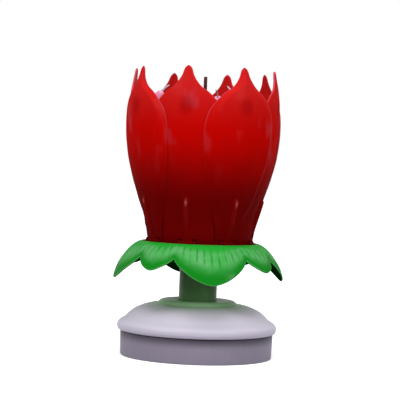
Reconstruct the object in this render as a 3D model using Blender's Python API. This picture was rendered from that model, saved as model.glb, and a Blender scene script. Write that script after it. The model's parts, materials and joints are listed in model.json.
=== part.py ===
"""A musical birthday candle: a flower bud of eight petals on a round base with a motor and a sound board.

Metres, +Z up. The origin is the centre of the base's underside, and -Y is the front.
An azimuth is an angle from the front, positive towards +X.
Lighting the fuse frees the petals. The conical spring then lifts the pusher ring against the heels of the
petals, the rod in the hollow spindle rises off the switch leaf, and the motor turns the whole flower.
"""

import math

import bmesh
import bpy
import numpy as np
from mathutils import Matrix, Vector

# Clearances and mesh fineness
GAP = 0.0003  # between two pieces that touch on the real object
RUN = 0.0001  # radial clearance of a turning fit
OVERRUN = 0.001  # how far a cutter runs past the wall that it cuts
BITE = 0.0004  # how far a boss runs into the wall that carries it
ROUND_SEGMENTS = 36
HUB_SEGMENTS = 20
SMALL_SEGMENTS = 10
SHARP_ANGLE = math.radians(35)
FLAT_ANGLE = math.radians(0.5)

# Battery cell, an AA size
CELL_R = 0.00725
CELL_L = 0.0505
CELL_NUB_R = 0.00275
CELL_NUB_L = 0.0010
CELL_CORNER = 0.0008
SPINDLE_STRIP = 0.00925  # strip beside the spindle that the battery bay leaves free
CELL_OFFSET = SPINDLE_STRIP + CELL_R
CONTACT_T = 0.0004
CONTACT_SIZE = 0.0090
CONTACT_SPRING_L = 0.0022
CONTACT_WIRE_R = 0.00035
CONTACT_SPRING_R = 0.0030
CONTACT_TIP_R = 0.0017
CONTACT_TURNS = 1.75

# Base drum
BASE_WALL = 0.0016
CELL_MARGIN = 0.00155  # between the corner of the cell and the drum wall
DRUM_INNER_R = math.hypot(CELL_L / 2, CELL_OFFSET + CELL_R) + CELL_MARGIN
DRUM_R = DRUM_INNER_R + BASE_WALL
DRUM_DRAFT = 0.00035  # the drum is this much wider at its top
DRUM_H = 0.0128
DRUM_FOOT_ROUND = 0.0006
FOOT_RIM_H = 0.0010  # the floor is set back by this much
FLOOR_T = 0.0018
FLOOR_TOP = FOOT_RIM_H + FLOOR_T
SPIGOT_H = 0.0020
SPIGOT_T = 0.0008

# Motor and gear train, in a stack on the floor
MOTOR_R = 0.0122
MOTOR_H = 0.0116
MOTOR_CAP_H = 0.0022
MOTOR_CAP_SET_BACK = 0.0007
MOTOR_BOSS_R = 0.0030
MOTOR_BOSS_H = 0.0011
MOTOR_FLAT_SHARE = 0.82
MOTOR_SHAFT_R = 0.0009
MODULE = 0.0007
OUTPUT_TEETH = 36
LARGE_TEETH = 30
SMALL_TEETH = 10
ADDENDUM_SHARE = 0.75
DEDENDUM_SHARE = 1.10
BACKLASH_SHARE = 0.30
PRESSURE_ANGLE = math.radians(20)
GEAR_FACE = 0.0020
GEAR_SIDE_GAP = 0.0005
PLATE_T = 0.0012
PLATE_EDGE = 0.0035
AXLE_R = 0.0010
COMPOUND_ANGLE = math.radians(150)
MOTOR_ANGLE = math.radians(34.4)  # direction from the compound gear to the motor, from +X
GEAR_DISTANCE = MODULE * (OUTPUT_TEETH + SMALL_TEETH) / 2
MOTOR_DISTANCE = MODULE * (LARGE_TEETH + SMALL_TEETH) / 2
MOTOR_Z = FLOOR_TOP + GAP
PLATE_Z = MOTOR_Z + MOTOR_H + GAP
LARGE_Z = PLATE_Z + PLATE_T + GAP
OUTPUT_Z = LARGE_Z + GEAR_FACE + GEAR_SIDE_GAP
GEAR_TOP = OUTPUT_Z + GEAR_FACE
GEAR_HEADROOM = 0.0039

# Neck and lid
NECK_R = 0.0095
NECK_WALL = 0.0013
NECK_FLANGE = 0.0020
NECK_FLANGE_T = 0.0014
NECK_Z = GEAR_TOP + GEAR_HEADROOM
LID_T = 0.0016
LID_TOP = NECK_Z + NECK_FLANGE_T + GAP + LID_T
LID_LIP_Z = DRUM_H - GAP
LID_OVERHANG = 0.0018  # how far the lid stands out over the top of the drum
LID_R = DRUM_R + DRUM_DRAFT + LID_OVERHANG
NECK_EXPOSED = 0.0168
NECK_TOP = LID_TOP + NECK_EXPOSED

# Lid outline from the lip to the flat top: shares of LID_R and of the height from lip to top
LID_OUTLINE_SHARES = (
    (0.971, 0.00), (0.998, 0.09), (0.998, 0.19), (0.961, 0.33), (0.905, 0.45), (0.816, 0.62),
    (0.731, 0.74), (0.601, 0.845), (0.505, 0.87), (0.463, 0.95), (0.430, 1.00),
)

# Battery door
DOOR_PLAY = 0.0009  # the door is this much longer than the cell
DOOR_LENGTH = CELL_L + DOOR_PLAY
DOOR_SIDE_GAP = 0.00035
DOOR_T = 0.0016
DOOR_PIN_R = 0.00055
DOOR_PIN_L = 0.0010
DOOR_FINGER_R = 0.0040
DOOR_FINGER_DEPTH = 0.0006
DOOR_PAD = 0.0022
DOOR_RIB_H = 0.0009
RAIL_T = 0.0011
RAIL_H = 0.0045
RAIL_LENGTH_SHARE = 0.82
BAY_WALL_H = 0.0095
BAY_WALL_T = 0.0010

# Screws between drum and lid
SCREW_RIM = 0.0052  # from the axis of a screw to the inside of the drum
SCREW_RING_R = DRUM_INNER_R - SCREW_RIM
SCREW_SHANK_R = 0.0013
SCREW_HEAD_R = 0.0025
SCREW_HEAD_H = 0.0014
SCREW_BOSS_R = 0.0030
SCREW_X_LEAST = DOOR_LENGTH / 2 + DOOR_PIN_L + GAP + SCREW_HEAD_R + GAP  # past the pin of the door
SCREW_Y_LEAST = -(CELL_OFFSET - CONTACT_SIZE / 2 - SCREW_BOSS_R - GAP)  # behind the contacts of the cell
SCREW_SIDE = max(math.asin(SCREW_X_LEAST / SCREW_RING_R), math.acos(-SCREW_Y_LEAST / SCREW_RING_R))
SCREW_AZIMUTHS = (SCREW_SIDE, math.radians(163), -SCREW_SIDE)
SCREW_L = 0.0145
SCREW_WEB = 0.0006  # above the floor, what the screw head bears on

# Posts under the gear plate
POST_R = 0.0020
POST_PEG_R = 0.0009
POST_PEG_H = 0.0010
POST_A = (0.0020, -0.0067)
POST_B = (0.0135, 0.0200)
POST_C = (-0.0200, 0.0215)

# Switch under the spindle
SWITCH_BLOCK_SIZE = (0.0034, 0.0050)
SWITCH_ARM = 0.0095  # from the axis of the spindle to the bend of the leaf
LEAF_T = 0.0003
LEAF_W = 0.0030
LEAF_OVERHANG = 0.0016
LEAF_BEND_R = 0.0005
LEAF_Z = 0.0110
LEAF_SWING = math.radians(12)  # once the trigger rod has let it go
UPPER_CONTACT_L = 0.0065
UPPER_CONTACT_LIFT = LEAF_T / 2 + UPPER_CONTACT_L * math.sin(LEAF_SWING)

# Sound board, chip and disc
BOARD_SIZE = (0.0144, 0.0190)
BOARD_T = 0.0012
BOARD_Y = 0.0060
BOARD_MARGIN = 0.0014  # between the switch block and the board
BOARD_X = SWITCH_ARM - LEAF_BEND_R + SWITCH_BLOCK_SIZE[0] + BOARD_MARGIN + BOARD_SIZE[0] / 2
BOARD_CENTRE = (BOARD_X, BOARD_Y)
BOARD_STAND_H = 0.0030
BOARD_STAND_R = 0.0012
BOARD_STAND_INSET = 0.0020
CHIP_R = 0.0034
CHIP_H = 0.0016
DISC_R = 0.0098
DISC_T = 0.0005
DISC_CENTRE = (-0.0224, 0.0042)
DISC_SEAT_H = 0.0006
DISC_SEAT_T = 0.0012
SLOT_COUNT = 5
SLOT_W = 0.0010
SLOT_PITCH = 0.0026
SLOT_L = 0.0110

# Spindle, its bush and the trigger rod inside
SPINDLE_R = 0.0030
ROD_R = 0.0013
ROD_PLAY = 0.00035
SPINDLE_BORE_R = ROD_R + ROD_PLAY
SPINDLE_FOOT = 0.0006  # how far the spindle stands out below the plate
BUSH_L = 0.0062
BUSH_FLANGE_T = 0.0008
SPINDLE_IN_HUB = 0.0041

# Petal hub, turned about Z
HUB_BOSS_R = 0.0050
HUB_BOSS_DROP = 0.0022  # how far the boss reaches below the disc
HUB_DISC_T = 0.0014
HUB_Z = NECK_TOP + GAP + BUSH_FLANGE_T + GAP + HUB_BOSS_DROP
HUB_FLOOR = HUB_Z + HUB_DISC_T
SOCKET_DEPTH = 0.0055
SOCKET_WALL = 0.0013
SOCKET_FLOOR_T = 0.0010
TUBE_R = 0.0048
EAR_R = 0.0012
EAR_T = 0.0014
EAR_HOLE_R = 0.00080
TRUNNION_R = 0.0006
HINGE_R = 0.0256  # distance of each petal's hinge from the axis of the flower
HINGE_RISE = 0.0076  # of the hinge axes above the hub floor
HINGE_Z = HUB_FLOOR + HINGE_RISE
KNUCKLE_R = 0.0012
KNUCKLE_HALF = 0.0027
EAR_IN = KNUCKLE_HALF + GAP
EAR_OUT = EAR_IN + EAR_T

# Heels, pusher ring and its spring
HEEL_L = 0.0057
HEEL_HALF = 0.0022
HEEL_T = 0.0012
NOSE_R = 0.0008
NOSE_DROP = 0.0004
PUSHER_EDGE_IN = 0.0034  # from the hinge axis to the rim of the pusher ring
PUSHER_R = HINGE_R - PUSHER_EDGE_IN
PUSHER_T = 0.0016
PUSHER_TOP = HINGE_Z - NOSE_DROP - NOSE_R - GAP
PUSHER_SLEEVE_T = 0.0012
PUSHER_SLEEVE_H = 0.0042
PUSHER_TRAVEL = 0.0051
PIN_R = 0.0005
PIN_HOLE_R = 0.0007
PIN_RISE = 0.0022  # of the cross pin above the foot of the pusher's sleeve
ROD_HEAD = 0.0014
SPRING_WIRE_R = 0.00035
SPRING_FOOT_R = 0.0125
SPRING_TOP_R = 0.0080
SPRING_TURNS = 3.5

# Fountain tube and fuse
TUBE_WALL = 0.0009
TUBE_L = 0.0540
CHARGE_SET_BACK = 0.0020
FUSE_R = 0.0010
FUSE_IN = 0.0060
FUSE_OUT = 0.0228

# Calyx: a cup around the hub and a bell-shaped skirt cut into sepals
CALYX_T = 0.0010
CALYX_R = 0.0429
CALYX_COLLAR_GAP = 0.0020  # between the hinge line and the wall of the cup
CALYX_CUP_R = HINGE_R + CALYX_COLLAR_GAP
CALYX_ROLL_R = 0.0012
CALYX_TOP = HINGE_Z - 0.0005
CALYX_DEPTH = 0.0188
CALYX_TURN = math.radians(10.6)
SEPALS = 4
LARGE_HALF_SPAN = math.radians(30)
NOTCH_REACH = 0.0110
SMALL_REACH = 0.0185
LARGE_REACH = 0.0240
# Skirt profile: shares of the way from the roll to CALYX_R and of CALYX_DEPTH
SKIRT_SHARES = (
    (0.085, 0.015), (0.340, 0.120), (0.600, 0.335), (0.795, 0.550), (0.910, 0.760), (1.000, 1.000),
)
SKIRT_ROW_SHARES = (0.16, 0.42, 0.70, 1.0)
LARGE_COLUMN_SHARES = (-1.0, -0.84, -0.45, 0.0, 0.45, 0.84)
SMALL_COLUMN_SHARES = (-1.0, -0.65, 0.0, 0.65)

# Petals
PETALS = 8
FIRST_AZIMUTH = math.radians(-58.7)
PETAL_TWISTS = tuple(math.radians(turn) for turn in (0, 0, 0, 0, 0.8, -5.4, -4.2, 7.4))
PETAL_T = 0.0010
PETAL_H = 0.0860
PETAL_FOOT_DROP = 0.0006  # of the foot edge below the hinge axis
PETAL_Z = HINGE_Z - PETAL_FOOT_DROP
PETAL_R = 0.0391
PETAL_HALF_ANGLE = math.radians(31.3)
LAYER_STEP = 0.0015  # how far the inner petals lie inside the outer ones
LAYER_RISE_SHARE = 0.15  # share of the height over which the two layers part
EAR_NOTCH_RISE = 0.0017
# Petal rows: shares of height, of PETAL_R, and of the half angle for outer and inner petals
PETAL_ROW_SHARES = (
    (0.000, 0.660, 0.450, 0.910), (0.110, 0.735, 0.540, 0.870), (0.240, 0.821, 0.770, 0.880),
    (0.265, 0.836, 0.800, 0.890), (0.380, 0.904, 0.915, 0.940), (0.510, 0.966, 0.985, 0.985),
    (0.640, 0.995, 1.000, 1.000), (0.740, 1.000, 0.910, 0.910), (0.848, 0.988, 0.580, 0.580),
    (0.890, 0.976, 0.300, 0.300), (0.945, 0.958, 0.135, 0.135), (1.000, 0.940, 0.012, 0.012),
)
PETAL_COLUMN_SHARES = (1.0, 0.60)
RIB_COLUMN_SHARES = (0.20, 0.10)
RIB_BASE_HALF = 0.0018
RIB_TOP_HALF = 0.0009
RIB_H = 0.0009
RIB_TOP_SHARE = 0.25
RIB_FOOT_SHARE = 0.06
RIB_FOOT_H_SHARE = 0.35

# Candles in their cups on the inside of the petals
CANDLE_R = 0.0021
CANDLE_L = 0.0180
CANDLE_TIP = 0.0006
CUP_WALL = 0.0007
CUP_BORE_R = CANDLE_R + GAP
CUP_R = CUP_BORE_R + CUP_WALL
CUP_FLOOR = 0.0010
CUP_DEPTH = 0.0030
CUP_LEAN = math.radians(35)
CUP_DROP = 0.0280  # from the tip of the petal down to the foot of its cup
CUP_HEIGHT = PETAL_H - CUP_DROP
GUSSET_DROP = 0.0075
GUSSET_HALF = 0.0007
WICK_R = 0.00045
WICK_HOLE_R = 0.00080
WICK_HOLE_DEPTH = 0.0020
WICK_OUT = 0.0042
WICK_CURL = 0.0016

GREY_VIOLET = (0.27, 0.24, 0.30)
LAVENDER = (0.64, 0.60, 0.66)
RED = (0.52, 0.012, 0.008)
GREEN = (0.02, 0.40, 0.035)
PINK = (0.85, 0.16, 0.36)


# Stands an extruded outline of (radius, height) up at the front: its depth then lies across, along X
UPRIGHT = Matrix(((0, 0, -1, 0), (-1, 0, 0, 0), (0, 1, 0, 0), (0, 0, 0, 1)))


def clear_scene():
    for old in list(bpy.data.objects):
        bpy.data.objects.remove(old, do_unlink=True)


def finish(name, colour, roughness, metallic=0.0):
    material = bpy.data.materials.new(name)
    material.use_nodes = True
    shader = material.node_tree.nodes["Principled BSDF"]
    shader.inputs["Base Color"].default_value = (*colour, 1)
    shader.inputs["Roughness"].default_value = roughness
    shader.inputs["Metallic"].default_value = metallic
    material.diffuse_color = (*colour, 1)
    return material


def make_object(name, mesh, material=None, parent=None):
    mesh.shade_smooth()
    mesh.set_sharp_from_angle(angle=SHARP_ANGLE)
    made = bpy.data.objects.new(name, mesh)
    bpy.context.scene.collection.objects.link(made)
    if material is not None:
        mesh.materials.append(material)
    made.parent = parent
    return made


def joint_empty(name, location=(0, 0, 0), azimuth=0.0, parent=None):
    """An empty on a joint's axis, with -Y turned to the azimuth."""
    empty = bpy.data.objects.new(name, None)
    bpy.context.scene.collection.objects.link(empty)
    empty.location = location
    empty.rotation_euler.z = azimuth
    empty.parent = parent
    return empty


def mesh_of(name, points, faces):
    """A closed mesh with its faces turned outwards. Bent quads are split, which a Boolean needs."""
    mesh = bpy.data.meshes.new(name)
    mesh.from_pydata([tuple(point) for point in points], [], faces)
    body = bmesh.new()
    body.from_mesh(mesh)
    bmesh.ops.recalc_face_normals(body, faces=body.faces)
    bmesh.ops.connect_verts_nonplanar(body, angle_limit=FLAT_ANGLE, faces=body.faces)
    body.to_mesh(mesh)
    body.free()
    return mesh


def revolve(name, profile, segments, material=None, parent=None):
    """Turns a profile of (radius, height) about Z. It starts and ends on the axis, or else closes on itself."""
    on_axis = profile[0][0] == 0
    points = []
    rings = []
    for radius, height in profile:
        if radius == 0:
            rings.append([len(points)] * segments)
            points.append((0, 0, height))
            continue
        rings.append(list(range(len(points), len(points) + segments)))
        for turn in (2 * math.pi * step / segments for step in range(segments)):
            points.append((radius * math.cos(turn), radius * math.sin(turn), height))
    pairs = list(zip(rings, rings[1:]))
    if not on_axis:
        pairs.append((rings[-1], rings[0]))
    faces = []
    for low, high in pairs:
        for step in range(segments):
            following = (step + 1) % segments
            corners = [low[step], low[following], high[following], high[step]]
            faces.append(list(dict.fromkeys(corners)))
    return make_object(name, mesh_of(name, points, faces), material, parent)


def prism(name, outline, low, high, material=None, parent=None):
    """Extrudes an outline of (x, y) from one height to another."""
    count = len(outline)
    points = [(x, y, low) for x, y in outline] + [(x, y, high) for x, y in outline]
    faces = [list(range(count)), list(range(2 * count - 1, count - 1, -1))]
    for step in range(count):
        following = (step + 1) % count
        faces.append([step, following, count + following, count + step])
    return make_object(name, mesh_of(name, points, faces), material, parent)


def block(name, low, high, material=None, parent=None):
    outline = [(low[0], low[1]), (high[0], low[1]), (high[0], high[1]), (low[0], high[1])]
    return prism(name, outline, low[2], high[2], material, parent)


def bar(name, start, end, radius, sides=SMALL_SEGMENTS, material=None, parent=None):
    """A round bar between two points."""
    start = Vector(start)
    along = Vector(end) - start
    outline = [
        (radius * math.cos(2 * math.pi * step / sides), radius * math.sin(2 * math.pi * step / sides))
        for step in range(sides)
    ]
    made = prism(name, outline, 0, along.length, material, parent)
    made.data.transform(Matrix.Translation(start) @ along.to_track_quat("Z", "Y").to_matrix().to_4x4())
    return made


def wire(name, points, radius, material, parent=None):
    """A round wire through points, as a curve with a bevel and filled caps."""
    curve = bpy.data.curves.new(name, "CURVE")
    curve.dimensions = "3D"
    curve.bevel_depth = radius
    curve.bevel_resolution = 1
    curve.use_fill_caps = True
    spline = curve.splines.new("POLY")
    spline.points.add(len(points) - 1)
    for spot, point in zip(spline.points, points):
        spot.co = (*point, 1)
    curve.materials.append(material)
    made = bpy.data.objects.new(name, curve)
    bpy.context.scene.collection.objects.link(made)
    made.parent = parent
    return made


def combine(target, others, operation):
    """Booleans the others into the target and removes them."""
    for other in others:
        modifier = target.modifiers.new(operation.lower(), "BOOLEAN")
        modifier.operation = operation
        modifier.solver = "EXACT"
        modifier.object = other
    bpy.context.view_layer.update()
    graph = bpy.context.evaluated_depsgraph_get()
    mesh = bpy.data.meshes.new_from_object(target.evaluated_get(graph))
    target.modifiers.clear()
    target.data = mesh
    mesh.shade_smooth()
    mesh.set_sharp_from_angle(angle=SHARP_ANGLE)
    for other in others:
        bpy.data.objects.remove(other, do_unlink=True)
    return target


def cut(target, *others):
    return combine(target, others, "DIFFERENCE")


def fuse(target, *others):
    return combine(target, others, "UNION")


def around(azimuth, radius):
    """The (x, y) at an azimuth from the front."""
    return radius * math.sin(azimuth), -radius * math.cos(azimuth)


def circle(centre, radius, sides, start=0.0):
    return [
        (centre[0] + radius * math.cos(start + 2 * math.pi * step / sides),
         centre[1] + radius * math.sin(start + 2 * math.pi * step / sides))
        for step in range(sides)
    ]


def cylinder(name, centre, radius, low, high, sides=SMALL_SEGMENTS, material=None, parent=None):
    return prism(name, circle(centre, radius, sides), low, high, material, parent)


def hull_of_circles(centres, radius, sides=16):
    """The outline of a band drawn tight around equal circles."""
    cloud = sorted(point for centre in centres for point in circle(centre, radius, sides))

    def chain(points):
        kept = []
        for point in points:
            while len(kept) > 1 and turns_right(kept[-2], kept[-1], point):
                kept.pop()
            kept.append(point)
        return kept[:-1]

    return chain(cloud) + chain(cloud[::-1])


def turns_right(first, second, third):
    return ((second[0] - first[0]) * (third[1] - first[1])
            - (second[1] - first[1]) * (third[0] - first[0])) <= 0


def offset_path(path, distance):
    """The path moved to its right by a distance, with mitred corners."""
    points = np.array(path, dtype=float)
    steps = np.diff(points, axis=0)
    steps /= np.linalg.norm(steps, axis=1)[:, None]
    rights = np.stack([steps[:, 1], -steps[:, 0]], axis=1)
    first = np.vstack([rights[:1], rights])
    last = np.vstack([rights, rights[-1:]])
    mitre = first + last
    mitre /= np.linalg.norm(mitre, axis=1)[:, None]
    stretch = distance / np.maximum((mitre * first).sum(axis=1), 0.5)
    return [tuple(point) for point in points + mitre * stretch[:, None]]


def screw_centres():
    return [around(azimuth, SCREW_RING_R) for azimuth in SCREW_AZIMUTHS]


def base_drum(material):
    """The lower shell: wall, set-back floor, battery bay, bosses, posts and sound slots."""
    top_r = DRUM_R + DRUM_DRAFT
    profile = [
        (0, FOOT_RIM_H),
        (DRUM_INNER_R - BITE, FOOT_RIM_H),
        (DRUM_INNER_R, 0),
        (DRUM_R - DRUM_FOOT_ROUND, 0),
        (DRUM_R, DRUM_FOOT_ROUND),
        (top_r, DRUM_H - GAP - GAP),
        (DRUM_INNER_R + SPIGOT_T, DRUM_H - GAP - GAP),
        (DRUM_INNER_R + SPIGOT_T, DRUM_H + SPIGOT_H),
        (DRUM_INNER_R, DRUM_H + SPIGOT_H),
        (DRUM_INNER_R, FLOOR_TOP),
        (0, FLOOR_TOP),
    ]
    drum = revolve("base_drum", profile, ROUND_SEGMENTS, material)
    bay_low = -CELL_OFFSET - CELL_R - GAP
    bay_high = -CELL_OFFSET + CELL_R + GAP
    half = DOOR_LENGTH / 2 + DOOR_SIDE_GAP
    openings = [block(
        "door_opening",
        (-half, bay_low, -OVERRUN),
        (half, door_hinge()[0] + DOOR_T / 2 + DOOR_SIDE_GAP, FLOOR_TOP + OVERRUN),
    )]
    first = -(SLOT_COUNT - 1) / 2
    for step in range(SLOT_COUNT):
        y = DISC_CENTRE[1] + (first + step) * SLOT_PITCH
        openings.append(block(
            "slot",
            (DISC_CENTRE[0] - SLOT_L / 2, y - SLOT_W / 2, -OVERRUN),
            (DISC_CENTRE[0] + SLOT_L / 2, y + SLOT_W / 2, FLOOR_TOP + OVERRUN),
        ))
    cut(drum, *openings)
    root = FLOOR_TOP - BITE
    adds = []
    for centre in screw_centres():
        adds.append(cylinder("boss", centre, SCREW_BOSS_R, root, DRUM_H - GAP))
    for centre in (POST_A, POST_B, POST_C):
        adds.append(cylinder("post", centre, POST_R, root, PLATE_Z - GAP))
        adds.append(cylinder("peg", centre, POST_PEG_R, PLATE_Z - GAP - BITE, PLATE_Z + POST_PEG_H))
    rail_half = RAIL_LENGTH_SHARE * CELL_L / 2
    rail_set_back = GAP + GAP
    for low, high in ((bay_low - rail_set_back - RAIL_T, bay_low - rail_set_back),
                      (bay_high + rail_set_back, bay_high + rail_set_back + RAIL_T)):
        adds.append(block("rail", (-rail_half, low, root), (rail_half, high, FLOOR_TOP + RAIL_H)))
    for low_x in (-spring_plate_x() - GAP - BAY_WALL_T, contact_plate_x() + CONTACT_T + GAP):
        adds.append(block(
            "bay_wall",
            (low_x, -CELL_OFFSET - CONTACT_SIZE / 2, root),
            (low_x + BAY_WALL_T, -CELL_OFFSET + CONTACT_SIZE / 2, FLOOR_TOP + BAY_WALL_H),
        ))
    for x, y in board_stands():
        adds.append(cylinder("stand", (x, y), BOARD_STAND_R, root, FLOOR_TOP + BOARD_STAND_H, 8))
    pin_reach = DOOR_LENGTH / 2 + DOOR_PIN_L + GAP
    for side in (-1, 1):
        ends = sorted((side * (DOOR_LENGTH / 2 + DOOR_SIDE_GAP), side * (pin_reach + DOOR_PIN_R)))
        adds.append(block(
            "hinge_pad",
            (ends[0], door_hinge()[0] - DOOR_PAD / 2, FOOT_RIM_H + BITE),
            (ends[1], door_hinge()[0] + DOOR_PAD / 2, FLOOR_TOP + DOOR_PIN_R),
        ))
    seat = revolve("seat", [
        (DISC_R - DISC_SEAT_T, root),
        (DISC_R, root),
        (DISC_R, FLOOR_TOP + DISC_SEAT_H),
        (DISC_R - DISC_SEAT_T, FLOOR_TOP + DISC_SEAT_H),
    ], 20)
    seat.data.transform(Matrix.Translation((*DISC_CENTRE, 0)))
    adds.append(seat)
    fuse(drum, *adds)

    cuts = []
    for x, y in screw_centres():
        cuts.append(cylinder("shank", (x, y), SCREW_SHANK_R + GAP, root, DRUM_H + OVERRUN))
        cuts.append(cylinder("head", (x, y), SCREW_HEAD_R + GAP, -OVERRUN, FLOOR_TOP + SCREW_WEB))
    cuts.append(bar(
        "pin_hole",
        (-pin_reach, *door_hinge()),
        (pin_reach, *door_hinge()),
        DOOR_PIN_R + GAP,
        8,
    ))
    return cut(drum, *cuts)


def spring_plate_x():
    """How far left of the axis the back of the spring contact lies."""
    return CELL_L / 2 + GAP + CONTACT_SPRING_L + CONTACT_T


def contact_plate_x():
    return CELL_L / 2 + GAP


def door_hinge():
    """The (y, z) of the battery door's hinge axis."""
    return -CELL_OFFSET + CELL_R + GAP - DOOR_T / 2, FOOT_RIM_H + DOOR_T / 2


def board_stands():
    reach_x = BOARD_SIZE[0] / 2 - BOARD_STAND_INSET
    reach_y = BOARD_SIZE[1] / 2 - BOARD_STAND_INSET
    return [
        (BOARD_CENTRE[0] + x * reach_x, BOARD_CENTRE[1] + y * reach_y)
        for x, y in ((-1, -1), (1, -1), (0, 1))
    ]


def base_lid(material):
    """The domed upper shell, with the raised ring that the neck comes out of."""
    height = LID_TOP - LID_LIP_Z
    outer = [(LID_R * r, LID_LIP_Z + height * z) for r, z in LID_OUTLINE_SHARES]
    bore_r = NECK_R + GAP
    outer.append((bore_r, LID_TOP))
    inner = offset_path(outer[::-1][::2], LID_T)
    inner[0] = (bore_r, LID_TOP - LID_T)
    lip_r = DRUM_INNER_R + SPIGOT_T + GAP
    inner = [(min(r, LID_R - LID_T), z) for r, z in inner if z > DRUM_H + SPIGOT_H + GAP]
    inner.append((inner[-1][0], DRUM_H + SPIGOT_H + GAP))
    inner.append((lip_r, DRUM_H + SPIGOT_H + GAP))
    inner.append((lip_r, LID_LIP_Z))
    lid = revolve("base_lid", outer + inner, ROUND_SEGMENTS, material)
    screw_top = FLOOR_TOP + SCREW_L
    posts = [
        cylinder("lid_post", centre, SCREW_BOSS_R, DRUM_H, screw_top + OVERRUN + LID_T)
        for centre in screw_centres()
    ]
    fuse(lid, *posts)
    holes = [
        cylinder("lid_hole", centre, SCREW_SHANK_R + GAP, DRUM_H - OVERRUN, screw_top + GAP)
        for centre in screw_centres()
    ]
    return cut(lid, *holes)


def base_screws(material):
    for number, centre in enumerate(screw_centres(), 1):
        seat_z = FLOOR_TOP + SCREW_WEB - GAP
        profile = [
            (0, seat_z - SCREW_HEAD_H),
            (SCREW_HEAD_R, seat_z - SCREW_HEAD_H),
            (SCREW_HEAD_R, seat_z - SCREW_HEAD_H / 2),
            (SCREW_SHANK_R, seat_z),
            (SCREW_SHANK_R, FLOOR_TOP + SCREW_L - SCREW_SHANK_R),
            (0, FLOOR_TOP + SCREW_L),
        ]
        screw = revolve(f"base_screw_{number}", profile, SMALL_SEGMENTS, material)
        screw.location = (*centre, 0)


def battery_door(material):
    """The door under the cell. Its origin is on its hinge axis."""
    hinge_y, hinge_z = door_hinge()
    pivot = joint_empty("battery_door_hinge", (0, hinge_y, hinge_z))
    half = DOOR_LENGTH / 2
    far = -CELL_OFFSET - CELL_R - GAP + DOOR_SIDE_GAP - hinge_y
    door = block("battery_door", (-half, far, -DOOR_T / 2), (half, 0, DOOR_T / 2), material)
    edge = bar("edge", (-half, 0, 0), (half, 0, 0), DOOR_T / 2)
    pin = bar("pin", (-half - DOOR_PIN_L, 0, 0), (half + DOOR_PIN_L, 0, 0), DOOR_PIN_R, 8)
    fuse(door, edge, pin)
    dish_y = far + DOOR_FINGER_R
    finger = cylinder(
        "finger", (0, dish_y), DOOR_FINGER_R - DOOR_T, -DOOR_T, DOOR_FINGER_DEPTH - DOOR_T / 2,
    )
    cut(door, finger)
    door.parent = pivot


def aa_cell(material):
    body = CELL_L / 2 - CELL_NUB_L
    profile = [
        (0, -CELL_L / 2),
        (CELL_R - CELL_CORNER, -CELL_L / 2),
        (CELL_R, -CELL_L / 2 + CELL_CORNER),
        (CELL_R, body - CELL_CORNER),
        (CELL_R - CELL_CORNER, body),
        (CELL_NUB_R, body),
        (CELL_NUB_R, CELL_L / 2),
        (0, CELL_L / 2),
    ]
    cell = revolve("aa_cell", profile, 20, material)
    cell.data.transform(Matrix.Rotation(math.pi / 2, 4, "Y"))
    cell.location = (0, -CELL_OFFSET, FLOOR_TOP + GAP + CELL_R)
    return cell


def battery_contacts(material):
    """The spring contact on the flat end of the cell and the plate on its nub end."""
    centre_z = FLOOR_TOP + GAP + CELL_R
    low_y = -CELL_OFFSET - CONTACT_SIZE / 2
    low_z = FLOOR_TOP + GAP
    size = Vector((CONTACT_T, CONTACT_SIZE, BAY_WALL_H - GAP))
    corner = Vector((contact_plate_x(), low_y, low_z))
    block("contact_plate", corner, corner + size, material)
    corner = Vector((-spring_plate_x(), low_y, low_z))
    plate = block("contact_spring", corner, corner + size, material)
    steps = 8
    count = round(CONTACT_TURNS * steps)
    start_x = corner.x + CONTACT_T / 2
    reach = CONTACT_SPRING_L + CONTACT_T / 2 - CONTACT_WIRE_R
    points = []
    for step in range(count + 1):
        share = step / count
        turn = 2 * math.pi * step / steps
        radius = CONTACT_SPRING_R + (CONTACT_TIP_R - CONTACT_SPRING_R) * share
        points.append((
            start_x + reach * share,
            -CELL_OFFSET + radius * math.cos(turn),
            centre_z + radius * math.sin(turn),
        ))
    coil = wire("coil", points, CONTACT_WIRE_R, material)
    solid = bpy.data.meshes.new_from_object(coil.evaluated_get(bpy.context.evaluated_depsgraph_get()))
    bpy.data.objects.remove(coil, do_unlink=True)
    fuse(plate, make_object("coil", solid))


def motor_centre():
    x, y = compound_centre()
    return x + MOTOR_DISTANCE * math.cos(MOTOR_ANGLE), y + MOTOR_DISTANCE * math.sin(MOTOR_ANGLE)


def compound_centre():
    return GEAR_DISTANCE * math.cos(COMPOUND_ANGLE), GEAR_DISTANCE * math.sin(COMPOUND_ANGLE)


def flattened(radius, sides=28):
    """A circle with two flat sides, as the can of a small motor has."""
    flat = radius * MOTOR_FLAT_SHARE
    return [(max(-flat, min(flat, x)), y) for x, y in circle((0, 0), radius, sides)]


def motor(can_material, cap_material):
    boss_top = MOTOR_Z + MOTOR_H
    can = prism(
        "motor_can", circle((0, 0), MOTOR_R, 28), MOTOR_Z + MOTOR_CAP_H + GAP, boss_top, can_material,
    )
    boss = cylinder("boss", (0, 0), MOTOR_BOSS_R, boss_top - BITE, boss_top + MOTOR_BOSS_H)
    fuse(can, boss)
    cut(can, cylinder(
        "shaft_hole", (0, 0), MOTOR_SHAFT_R + GAP, boss_top - MOTOR_BOSS_R, boss_top + MOTOR_BOSS_H + OVERRUN,
    ))
    can.location = (*motor_centre(), 0)
    cap = prism(
        "motor_end_cap", flattened(MOTOR_R - MOTOR_CAP_SET_BACK), MOTOR_Z, MOTOR_Z + MOTOR_CAP_H, cap_material,
    )
    cap.location = (*motor_centre(), 0)


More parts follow.
